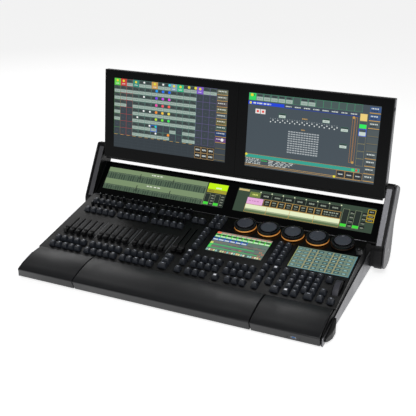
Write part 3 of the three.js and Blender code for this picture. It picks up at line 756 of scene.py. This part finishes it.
def make_sockets():
    """Each opening in the rear cover gets its socket: a flange, a recess and its contacts."""
    bm = bmesh.new()
    face_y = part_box("rear_cover")[1].y
    for name, (low, high) in OPENINGS.items():
        if name == "usb_port":
            continue
        low, high = Vector(low), Vector(high)
        centre, half = (low + high) / 2, (high - low) / 2 / MM

        def place(x, z):
            return lambda a, b, h: Vector((centre.x + x + a, face_y + h, centre.z + z + b))

        def ring(x, half_x, half_z, radius, steps, y):
            return [place(x, 0)(a, b, y * MM)
                    for a, b in rounded(half_x * MM, half_z * MM, radius * MM, steps)]
        if name.startswith("lighting"):
            lathe(bm, ROUND_SOCKET, place(0, 0), 48)
            for i in range(5):
                angle = math.radians(90 + 72 * i)
                lathe(bm, ROUND_PIN, place(5 * MM * math.cos(angle), 5 * MM * math.sin(angle)), 12, index=1)
            continue
        loft(bm, [ring(0, half.x + 0.4 + grow, half.z + 0.4 + grow, 1.2, 2, y)
                  for grow, y in SQUARE_SOCKET], caps=(False, True))
        count, pitch, size = (3, 7, 1.0) if name == "power_inlet" else (8, 1.2, 0.35)
        for i in range(count):
            a = (i - (count - 1) / 2) * pitch * MM
            loft(bm, [ring(a, size, 2 * size, 0.2, 1, y) for y in (-13, -4)], 1)
    make("rear_sockets", bm, [BLACK_PLASTIC, GOLD], "base")


# ---------- what the displays show ----------
PICTURE_LIFT = 0.06 * MM  # a picture's ground above the glass, and each level above the last
LEVEL_STEP = 0.03 * MM


class Picture:
    """Coloured rectangles on a face. u runs 0 to 1 left to right and v 0 to 1 bottom to top.

    Both are counted from the place that start_at sets, which is the lower left corner at first.
    """

    def __init__(self, face, x0, x1, s0, s1, ground):
        self.face, self.x0, self.s0 = face, x0, s0
        self.width, self.height = x1 - x0, s1 - s0
        self.quads = []
        self.start_at()
        self.rect(0, 0, 1, 1, ground)

    def start_at(self, u=0, v=0):
        self.u, self.v = u, v

    def rect(self, u0, v0, u1, v1, colour, level=0):
        self.quads.append((self.u + u0, self.v + v0, self.u + u1, self.v + v1, colour, level))

    def rects(self, *rows):
        for row in rows:
            self.rect(*row)

    def outline(self, u0, v0, u1, v1, colour, level=1, line=0.0022):
        tall = line * self.width / self.height
        self.rect(u0, v0, u1, v0 + tall, colour, level)
        self.rect(u0, v1 - tall, u1, v1, colour, level)
        self.rect(u0, v0, u0 + line, v1, colour, level)
        self.rect(u1 - line, v0, u1, v1, colour, level)

    def marks(self, u0, v0, u1, v1, colour, seed, level=2):
        """A row of short strokes, standing for a caption without any lettering."""
        draw = random.Random(seed)
        u = u0
        while u < u1:
            step = (u1 - u0) * draw.uniform(0.08, 0.2)
            self.rect(u, v0, min(u + step, u1), v1, colour, level)
            u += step * draw.uniform(1.25, 1.7)

    def dot(self, u, v, size, colour, level=3):
        tall = size * self.width / self.height
        for across, up in ((1, 0.38), (0.92, 0.62), (0.78, 0.8), (0.5, 0.95)):
            self.rect(u - size * across, v - tall * up, u + size * across, v + tall * up, colour, level)

    def finish(self, name, body):
        bm = bmesh.new()
        layer = bm.loops.layers.float_color.new("tint")
        for u0, v0, u1, v1, colour, level in self.quads:
            h = PICTURE_LIFT + level * LEVEL_STEP
            corners = ((u0, v0), (u1, v0), (u1, v1), (u0, v1))
            points = [self.face.at(self.x0 + u * self.width, self.s0 + v * self.height, h)
                      for u, v in corners]
            quad = bm.faces.new([bm.verts.new(p) for p in points])
            for loop in quad.loops:
                loop[layer] = linear(*colour)
        mesh = to_mesh(name, bm)
        mesh.materials.append(DISPLAY)
        piece = add(name, mesh)
        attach(piece, body)


SLATE = (66, 78, 86)
DARK = (44, 54, 60)
PALE = (166, 186, 176)
CAPTION = (222, 230, 226)
FAINT = (158, 168, 152)
INK = (12, 15, 17)
YELLOW = (238, 226, 60)
WHITE = (250, 252, 250)
ORANGE = (206, 162, 84)
PURPLE = (106, 92, 150)
TRACK = (34, 42, 36)
IVORY = (232, 238, 222)
FIXTURE = (206, 212, 214)
NIGHT = (28, 34, 30)
GRID = (60, 72, 80)


# ---------- large displays ----------
EDGE_GAP = 2.8 * MM  # from a display's glass to the outside of the wing
DISPLAY_OUTER = 37.6 * MM  # from the outside of the wing to the lit picture
DISPLAY_INNER = 36.3 * MM
DISPLAY_LOWER = 40.0 * MM
DISPLAY_UPPER = 27.1 * MM


def monitor_picture(side, ground):
    face = Face("monitor_" + side)
    far = max(abs(face.x0), abs(face.x1)) + EDGE_GAP - DISPLAY_OUTER
    x0, x1 = (-far, -DISPLAY_INNER) if side == "left" else (DISPLAY_INNER, far)
    s0, s1 = DISPLAY_LOWER - EDGE_GAP, face.length - DISPLAY_UPPER + EDGE_GAP
    return Picture(face, x0, x1, s0, s1, ground)


PRESET_COLUMNS, PRESET_ROWS = 16, 8
PRESET_WIDE, PRESET_TALL = 0.0566, 0.1005
HEADERS = {0: (96, 214, 70), 1: (206, 58, 50), 3: (46, 142, 126), 6: (208, 160, 84), 9: (132, 162, 180),
           10: (44, 190, 134), 13: (130, 90, 204)}
SPOTS = {
    (4, 0): WHITE, (7, 0): WHITE, (8, 0): (70, 220, 235), (11, 0): YELLOW, (12, 0): YELLOW,
    (6, 1): (40, 160, 240), (7, 1): (40, 120, 250), (8, 1): (20, 100, 250), (4, 2): WHITE,
    (6, 2): (124, 70, 240), (7, 2): (212, 70, 240), (8, 2): (240, 60, 232),
    (6, 3): (250, 80, 180), (7, 3): (250, 84, 104), (8, 3): (255, 100, 78), (4, 4): WHITE, (5, 4): WHITE,
    (6, 4): (255, 150, 56), (7, 4): (255, 206, 70), (8, 4): (244, 226, 88), (3, 5): WHITE,
    (6, 5): (190, 232, 56), (7, 5): (120, 236, 66), (8, 5): (66, 238, 90), (5, 6): WHITE,
    (6, 6): (40, 220, 200), (6, 7): WHITE, (8, 7): (255, 160, 60),
}


def is_empty(column, row):
    if column >= 13:
        return row > 0
    return ((column == 0 and row > 5) or (column == 1 and row > 3) or (column == 2 and row > 2)
            or (row == 6 and column in (7, 8, 10)) or (row == 7 and column in (9, 10)))


def preset_tile(picture, column, row):
    picture.start_at(column * PRESET_WIDE, 1 - (row + 1) * PRESET_TALL)
    right, top = PRESET_WIDE, PRESET_TALL
    seed = column * 31 + row
    edge = PURPLE
    if column < 13:
        edge = (84, 136, 120)
    if column < 3:
        edge = (176, 66, 60)
    if column == 0:
        edge = (84, 150, 78)
    if row == 0 and column in HEADERS:
        picture.rect(0.001, 0.004, right - 0.001, top, HEADERS[column], 2)
        picture.marks(0.014, 0.022, right - 0.014, 0.034, WHITE, seed)
        picture.dot(right / 2, top * 0.7, 0.0095, YELLOW)
    elif is_empty(column, row):
        picture.rect(0.001, 0.002, right - 0.001, top - 0.002, (52, 62, 70), 1)
        picture.marks(0.02, 0.044, right - 0.022, 0.054, (74, 84, 94), seed)
    else:
        picture.rects(
            (0.001, 0.002, right - 0.001, top - 0.002, (66, 82, 80), 1),
            (0.0015, 0.005, right - 0.0015, 0.047, PALE, 2))
        picture.marks(0.008, 0.02, right - 0.01, 0.034, (112, 132, 124), seed)
        picture.marks(0.006, 0.064, right - 0.008, 0.076, INK, seed + 7)
        picture.marks(0.01, 0.082, right - 0.022, 0.09, INK, seed + 19)
    picture.outline(0, 0, right, top, edge, 3, 0.0011)
    if (column, row) in SPOTS:
        colour = SPOTS[column, row]
        size = 0.0075 if colour == WHITE else 0.0105
        picture.dot(right * 0.82, top * 0.76, size, colour, 4)


def draw_left_monitor():
    """A grid of preset tiles, with coloured spots, above an empty strip."""
    picture = monitor_picture("left", DARK)
    grid_foot = 1 - PRESET_ROWS * PRESET_TALL
    right = PRESET_WIDE - 0.002
    for column in range(PRESET_COLUMNS):
        for row in range(PRESET_ROWS):
            preset_tile(picture, column, row)
        picture.start_at(column * PRESET_WIDE, grid_foot)
        picture.rect(0, 0.01 - grid_foot, 0.001, 0, GRID, 1)
        if column < 13:
            picture.rect(0.004, -0.008, 0.034, -0.003, ORANGE, 1)
    for i in range(4):
        picture.start_at(0, 0.03 + i * 0.042)
        picture.rect(0, 0, 13 * PRESET_WIDE, 0.002, GRID, 1)
    picture.start_at(6 * PRESET_WIDE, 1 - 7 * PRESET_TALL)
    picture.outline(0, -0.004, PRESET_WIDE, 0.092, (34, 92, 216), 5, 0.004)
    for row in range(2):
        for column in range(3):
            picture.start_at((13 + column) * PRESET_WIDE, 0.006 + row * 0.083)
            picture.rect(0.002, 0, right, 0.078, INK, 1)
            picture.outline(0.002, 0, right, 0.078, ORANGE, 2, 0.0018)
            picture.marks(0.012, 0.03, right - 0.01, 0.052, CAPTION, row * 5 + column)
    tiles = [(116, 120, 96), (104, 106, 92), (92, 84, 84), (110, 112, 84), (88, 98, 100), (116, 112, 70)]
    tiles += [(70, 96, 84), (34, 66, 120), (110, 70, 130), (60, 70, 78), (54, 64, 72), (60, 66, 70)]
    for row, fill in enumerate(tiles):
        picture.start_at(0.9096, 0.93 - row * 0.082)
        picture.rects(
            (0, 0, 0.0884, 0.06, fill, 1),
            (0, -0.011, 0.0884, -0.004, ORANGE if row < 9 else (120, 108, 66), 2))
        if row < 9:
            picture.marks(0.01, 0.034, 0.0754, 0.046, CAPTION, 90 + row)
            picture.marks(0.01, 0.012, 0.0654, 0.022, INK, 120 + row)
    picture.start_at()
    picture.dot(0.968, 0.308, 0.012, WHITE, 4)
    picture.finish("picture_monitor_left", "monitor_wing")


def draw_lamp_plot(picture):
    """An arc of lamps over a block of fixtures."""
    picture.marks(0.43, 0.722, 0.468, 0.738, ORANGE, 330)
    picture.marks(0.428, 0.576, 0.456, 0.59, ORANGE, 331)
    for i in range(28):
        share = i / 27
        picture.start_at(0.185 + 0.51 * share, 0.652 + 0.01 * math.sin(math.pi * share))
        picture.dot(0, 0.016 if i % 2 else -0.008, 0.0046, (226, 232, 230))
        picture.rect(-0.006, 0.034, 0.002, 0.04, (150, 160, 164), 2)
    for row in range(10):
        for column in range(12):
            picture.start_at(0.33 + column * 0.0201, 0.537 - row * 0.0306)
            picture.rects(
                (0, 0, 0.006, 0.012, FIXTURE, 2),
                (0.0085, 0, 0.0145, 0.012, FIXTURE, 2),
                (0, 0.004, 0.0145, 0.008, (188, 196, 200), 2),
                (0, -0.008, 0.0145, -0.004, (120, 132, 140), 2))
    for u, v in ((0.247, 0.709), (0.583, 0.712), (0.723, 0.628), (0.724, 0.414)):
        picture.start_at(u, v)
        picture.rects(
            (0, 0, 0.054, 0.036, (206, 220, 212), 2), (0, 0.036, 0.054, 0.058, (40, 58, 56), 2))
        picture.outline(0, 0, 0.054, 0.058, (52, 120, 92), 3, 0.0016)
        picture.marks(0.01, 0.012, 0.044, 0.022, (110, 128, 120), int(u * 900))
    picture.start_at()


def draw_right_monitor():
    """A stage plot, with rows of tiles and captions round it."""
    picture = monitor_picture("right", SLATE)
    for i in range(15):
        picture.start_at(0.003 + i * 0.0577, 0.903)
        filled = i in (1, 2, 3, 4, 5, 7, 8)
        picture.rect(0, 0.001, 0.056, 0.095, (44, 222, 100) if i == 0 else (70, 90, 88), 1)
        if filled:
            picture.rect(0.002, 0.005, 0.054, 0.053, PALE, 2)
            picture.marks(0.01, 0.021, 0.046, 0.035, (124, 144, 134), 220 + i)
        if filled or i == 0:
            picture.marks(0.01, 0.063, 0.045, 0.079, INK, 200 + i)
        picture.outline(0, 0, 0.0565, 0.095, (66, 160, 112), 3, 0.0014)
    picture.start_at()
    picture.dot(0.026, 0.972, 0.011, YELLOW, 4)
    picture.rect(0, 0.848, 0.284, 0.89, (14, 66, 222), 1)
    picture.dot(0.018, 0.868, 0.009, YELLOW)
    picture.marks(0.04, 0.86, 0.18, 0.878, CAPTION, 300)
    picture.rects(
        (0.284, 0.848, 0.85, 0.888, (56, 70, 84), 1), (0.284, 0.842, 0.85, 0.85, (26, 58, 158), 2))
    for i in range(8):
        picture.marks(0.296 + i * 0.07, 0.862, 0.342 + i * 0.07, 0.876, CAPTION, 310 + i)
    for u in (0.06, 0.102):
        picture.rect(u, 0.732, u + 0.038, 0.794, (240, 232, 228), 2)
        picture.dot(u + 0.019, 0.763, 0.009, (232, 62, 56))
    draw_lamp_plot(picture)
    picture.rect(0, 0.128, 0.888, 0.172, (44, 164, 146), 2)
    picture.outline(0, 0.122, 0.89, 0.178, ORANGE, 3, 0.0018)
    picture.dot(0.008, 0.168, 0.009, YELLOW, 4)
    picture.dot(0.84, 0.15, 0.011, (70, 226, 120), 4)
    picture.dot(0.866, 0.15, 0.009, (214, 84, 60), 4)
    picture.rect(0.13, 0.094, 0.18, 0.108, (52, 170, 84), 2)
    for row in range(4):
        picture.start_at(0, 0.108 - row * 0.02)
        picture.marks(0.008, 0, 0.125, 0.008, CAPTION, 340 + row)
        picture.marks(0.19, 0, 0.4 - row * 0.02, 0.008, CAPTION, 350 + row)
    picture.start_at()
    picture.rects((0, 0.036, 0.72, 0.041, ORANGE, 2), (0, 0.018, 0.9, 0.023, ORANGE, 2))
    picture.dot(0.706, 0.03, 0.009, YELLOW)
    for i in range(3):
        picture.start_at(0.72 + i * 0.065, 0.026)
        picture.rect(0, 0.002, 0.061, 0.094, (30, 38, 44), 1)
        picture.outline(0, 0, 0.063, 0.096, ORANGE, 2, 0.0018)
        picture.marks(0.014, 0.04, 0.048, 0.054, CAPTION, 360 + i)
    picture.start_at()
    for u, v in ((0.802, 0.824), (0.822, 0.246)):
        picture.outline(u, 0.24, u + 0.017, 0.83, (190, 132, 60), 2, 0.0022)
        picture.dot(u + 0.0085, v, 0.009, ORANGE)
    tiles = {0: (244, 214, 128), 1: (40, 246, 96), 2: (206, 220, 212)}
    for i in range(7):
        picture.start_at(0.854, 0.796 - i * 0.0965)
        picture.rect(0.002, 0, 0.052, 0.088 if i == 0 else 0.05, tiles.get(i, SLATE), 1)
        edge, line = ((24, 84, 232), 0.0035) if i == 2 else ((150, 142, 92), 0.0016)
        picture.outline(0, -0.004, 0.055, 0.09, edge, 3, line)
    for i in range(10):
        picture.start_at(0.919, 0.915 - i * 0.0975)
        plain = i in (3, 4, 5)
        picture.rects(
            (0, 0, 0.079, 0.07, (52, 84, 134) if i < 2 else (78, 88, 90), 1),
            (0, -0.014, 0.079, -0.005, (120, 112, 82) if plain else ORANGE, 2))
        if not plain:
            picture.marks(0.011, 0.04, 0.066, 0.055, CAPTION, 370 + i)
            picture.marks(0.011, 0.012, 0.056, 0.024, INK, 390 + i)
    picture.finish("picture_monitor_right", "monitor_wing")


# ---------- letterbox displays ----------
LETTERBOX_INNER = 18.6 * MM  # from the desk's middle to the nearer edge of a picture
LETTERBOX_OUTER = 485 * MM
LETTERBOX_LOWER = 25.1 * MM
LETTERBOX_UPPER = 109.5 * MM
OLIVE = (128, 150, 112)
OLIVE_DARK = (58, 76, 60)
CREAM = (238, 248, 206)
LIME = (70, 226, 62)


def letterbox_picture(side, ground):
    x0, x1 = LETTERBOX_INNER, LETTERBOX_OUTER
    if side == "left":
        x0, x1 = -x1, -x0
    return Picture(Face("letterbox_glass"), x0, x1, LETTERBOX_LOWER, LETTERBOX_UPPER, ground)


def sliders(picture, places, wide, v0, v1, seed):
    """Two dark tracks with lime feet, and a column of small marks beside each."""
    for u in places:
        picture.start_at(u, v0)
        tall = v1 - v0
        picture.rect(0, 0.1, wide, tall, (36, 46, 40), 2)
        picture.outline(-0.003, -0.02, wide + 0.003, tall + 0.02, (150, 160, 126), 3, 0.0016)
        picture.rect(-0.002, 0, wide + 0.002, 0.11, LIME, 3)
        for i in range(4):
            v = 0.01 + i * tall / 4
            picture.rect(wide * 1.25, v, wide * 2.1, v + tall / 5.2, (22, 28, 26), 2)
            picture.marks(wide * 1.36, v + 0.02, wide * 2.0, v + 0.07, (150, 158, 140), seed + i, 3)
    picture.start_at()


def draw_letterbox_left():
    """Two bands of narrow channel columns, and a bright block with two small sliders."""
    picture = letterbox_picture("left", OLIVE)
    columns = 42
    for v0, v1 in ((0.485, 0.8), (0.0, 0.235)):
        picture.rect(0, v0, 0.832, v1, (86, 106, 84), 1)
        for i in range(columns):
            u = 0.004 + i * 0.832 / columns
            picture.rect(u, v0 + 0.012, u + 0.011, v1 - 0.012, (56, 74, 60) if i % 4 else (72, 92, 74), 2)
            picture.marks(u + 0.002, v1 - 0.06, u + 0.01, v1 - 0.03, (150, 166, 138), i)
    for u in (0.277, 0.557):
        picture.rects(
            (u, 0.65, u + 0.006, 0.88, TRACK, 3), (u, 0.09, u + 0.006, 0.36, TRACK, 3))
    picture.marks(0.37, 0.885, 0.475, 0.93, IVORY, 400)
    picture.marks(0.36, 0.37, 0.48, 0.412, IVORY, 401)
    picture.rects(
        (0.836, 0, 1, 1, (44, 54, 46), 1), (0.845, 0.735, 0.998, 0.99, (202, 255, 10), 2),
        (0.845, 0.585, 0.998, 0.73, (170, 162, 48), 2))
    picture.marks(0.91, 0.78, 0.95, 0.83, WHITE, 402, 3)
    picture.marks(0.86, 0.63, 0.9, 0.67, (90, 90, 30), 403, 3)
    sliders(picture, (0.845, 0.923), 0.034, 0.05, 0.52, 404)
    picture.finish("picture_letterbox_left", "screen_frame")


def draw_letterbox_right():
    """Tabs above a row of orange-edged cells, a pale bar, and two sliders."""
    picture = letterbox_picture("right", OLIVE_DARK)
    picture.rect(0.004, 0.89, 0.085, 0.97, (206, 190, 128), 1)
    for i in range(8):
        picture.start_at(0.094 + i * 0.084, 0)
        picture.rect(0, 0.675, 0.079, 0.9, (118, 136, 66) if i == 0 else NIGHT, 1)
        picture.outline(-0.001, 0.67, 0.081, 0.905, (110, 122, 100), 2, 0.0012)
        picture.marks(0.02, 0.76, 0.06, 0.82, (228, 234, 130) if i == 0 else FAINT, 410 + i)
        picture.dot(0.077, 0.93, 0.0045, CREAM)
    picture.start_at()
    picture.rect(0.086, 0.375, 0.205, 0.65, (240, 180, 228), 2)
    picture.marks(0.1, 0.5, 0.19, 0.54, (206, 140, 192), 409, 3)
    for i in range(9):
        picture.start_at(0.211 + i * 0.0535, 0)
        wide = 0.05 if i < 8 else 0.13
        picture.rect(0, 0.395, wide, 0.645, NIGHT, 1)
        picture.outline(-0.001, 0.375, wide + 0.001, 0.66, ORANGE, 2, 0.0024)
        picture.marks(0.012, 0.54, wide - 0.012, 0.59, FAINT, 420 + i)
        picture.marks(0.014, 0.44, wide - 0.012, 0.49, (112, 122, 108), 440 + i)
    picture.start_at()
    picture.rects(
        (0.086, 0.185, 0.772, 0.36, CREAM, 2), (0.086, 0.13, 0.772, 0.185, (162, 176, 140), 1),
        (0.086, 0.03, 0.772, 0.13, (98, 120, 82), 1))
    picture.outline(0.084, 0.02, 0.774, 0.368, ORANGE, 3, 0.002)
    for u in (0.245, 0.415, 0.59):
        picture.rect(u, 0.02, u + 0.003, 0.368, ORANGE, 4)
    sliders(picture, (0.782, 0.866), 0.038, 0.1, 0.8, 460)
    for i, (v, tall) in enumerate(((0.74, 0.2), (0.58, 0.13), (0.43, 0.13))):
        picture.start_at(0.946, v)
        picture.rect(0.002, 0, 0.05, tall, INK, 2)
        picture.outline(0, 0, 0.052, tall, (232, 196, 44), 3, 0.003)
        picture.marks(0.011, tall * 0.4, 0.042, tall * 0.65, FAINT, 450 + i, 4)
    picture.finish("picture_letterbox_right", "screen_frame")


# ---------- command displays ----------
def command_picture(side, ground):
    face = Face("command_screen_" + side)
    edge = 1.2 * MM
    return Picture(face, face.x0 + edge, face.x1 - edge, edge, face.length - edge, ground)


def tile_band(picture, v, tall, end, count, edge, cell, caption):
    """A band of tiles, each with a dark cell over a pale caption."""
    picture.rect(0, v, end, v + tall, edge, 1)
    for i in range(count):
        u = (i + 0.12) * end / count
        wide = 0.76 * end / count
        picture.rects(
            (u, v + tall * 0.52, u + wide, v + tall * 0.92, cell, 2),
            (u - 0.006, v + tall * 0.1, u + wide, v + tall * 0.42, caption, 2))


def draw_command_left():
    """Bands of small coloured tiles over a grey-green field with green lines."""
    picture = command_picture("left", (104, 124, 114))
    draw = random.Random(500)
    tile_band(picture, 0.885, 0.105, 1, 11, (150, 150, 132), (196, 132, 118), (204, 226, 190))
    tile_band(picture, 0.715, 0.165, 1, 10, (90, 218, 76), (60, 72, 68), (222, 242, 216))
    tile_band(picture, 0.555, 0.155, 0.62, 6, (52, 100, 210), (60, 88, 92), (222, 234, 226))
    picture.rect(0, 0.905, 0.07, 0.99, (250, 110, 74), 3)
    for v in (0.49, 0.44, 0.24):
        picture.marks(0.03, v, 0.97, v + 0.02, (150, 112, 104), draw.randrange(999), 1)
    for v in (0.515, 0.4, 0.21):
        picture.marks(0.3, v, 0.97, v + 0.03, (84, 100, 98), draw.randrange(999), 1)
    picture.rects(
        (0, 0.33, 0.8, 0.37, (72, 190, 108), 1), (0, 0.16, 0.9, 0.185, (66, 198, 96), 1),
        (0, 0.16, 0.05, 0.34, (80, 220, 96), 1), (0, 0.37, 0.05, 0.46, (222, 240, 120), 1))
    colours = [(220, 222, 160), (196, 142, 110), (150, 206, 196), (236, 232, 200), (84, 104, 92)]
    for i in range(24):
        u = 0.01 + i * 0.041
        picture.rect(u, 0.02, u + 0.03, 0.1, draw.choice(colours), 1)
    for u, v in ((0.9, 0.3), (0.95, 0.22), (0.9, 0.12), (0.54, 0.04), (0.56, 0.2)):
        picture.outline(u, v, u + 0.04, v + 0.07, (232, 126, 76), 2, 0.006)
    picture.finish("picture_command_left", "base")


COMMAND_COLUMNS = (0.0, 0.112, 0.233, 0.354, 0.492, 0.612, 0.73, 0.852)


def draw_command_right():
    """A grid of cells with dark frames, between gold lines."""
    picture = command_picture("right", (112, 136, 122))
    draw = random.Random(520)
    pale = [(150, 190, 186), (126, 166, 158)]
    for column, u in enumerate(COMMAND_COLUMNS):
        for row in range(6):
            picture.start_at(u, 0.03 + row * 0.158)
            dark = (56, 86, 92) if 1 < column < 7 else (84, 116, 116)
            picture.rects(
                (0, 0, 0.116, 0.012, (164, 152, 92), 1), (0.014, 0.032, 0.1, 0.14, dark, 1),
                (0.034, 0.062, 0.08, 0.108, draw.choice(pale), 2))
    picture.start_at()
    for u in (0.229, 0.35, 0.608, 0.726):
        picture.rect(u, 0.01, u + 0.006, 0.98, (212, 178, 98), 5)
    picture.rects(
        (0, 0, 0.007, 1, (176, 184, 110), 5), (0, 0, 1, 0.03, (100, 150, 158), 3),
        (0.985, 0, 1, 1, (98, 142, 150), 3))
    picture.finish("picture_command_right", "base")


# ---------- floor and light ----------
def make_floor():
    bm = bmesh.new()
    bmesh.ops.create_grid(bm, x_segments=1, y_segments=1, size=30)
    mesh = to_mesh("floor", bm)
    material, nodes, links, shader = new_material("floor")
    put(shader, Base_Color=(0.8, 0.8, 0.8, 1), Emission_Color=(1, 1, 1, 1), Emission_Strength=0.72,
                Roughness=0.9, Specular_IOR_Level=0.1)
    mesh.materials.append(material)
    floor = add("floor", mesh)


def area_light(name, place, target, size, power):
    data = bpy.data.lights.new(name, "AREA")
    data.size = size
    data.energy = power
    lamp = add(name, data)
    lamp.location = place
    lamp.rotation_euler = (Vector(target) - Vector(place)).to_track_quat("-Z", "Y").to_euler()


AMBIENT = 0.2  # how bright the studio is beside its white backdrop


def make_light():
    """A white backdrop in a dim studio, with four soft boxes."""
    world = bpy.data.worlds.new("studio")
    world.use_nodes = True
    nodes, links = world.node_tree.nodes, world.node_tree.links
    path = nodes.new("ShaderNodeLightPath")
    level = nodes.new("ShaderNodeMapRange")
    put(level, To_Min=AMBIENT)
    links.new(path.outputs["Is Camera Ray"], level.inputs["Value"])
    links.new(level.outputs["Result"], nodes["Background"].inputs["Strength"])
    put(nodes["Background"], Color=(1, 1, 1, 1))
    bpy.context.scene.world = world
    bpy.context.scene.view_settings.view_transform = "Standard"
    area_light("front_light", (0.9, -2.2, 2.2), (0.1, -0.1, 0.15), 1.0, 32)
    area_light("rear_light", (-2.1, 1.9, 1.85), (0, -0.1, 0.1), 1.3, 9)
    area_light("side_light", (2.6, 0.4, 0.9), (0.5, 0, 0.1), 1.2, 1.5)
    area_light("top_light", (-0.35, 1.3, 1.9), (0.35, -0.3, 0.05), 0.8, 4.5)


make_camera()
make_light()
make_floor()
paint_nodes()
make_palm_rests()
make_usb()
make_keys()
for node_name in sorted(NODES):
    if "fader_" in node_name:
        make_fader(node_name)
make_encoders()
make_level_wheel()
make_rotaries()
make_panel_print()
make_screws()
make_arm_strips()
make_arm_screws()
make_wing_trim()
make_wing_back()
make_sockets()
draw_left_monitor()
draw_right_monitor()
draw_letterbox_left()
draw_letterbox_right()
draw_command_left()
draw_command_right()
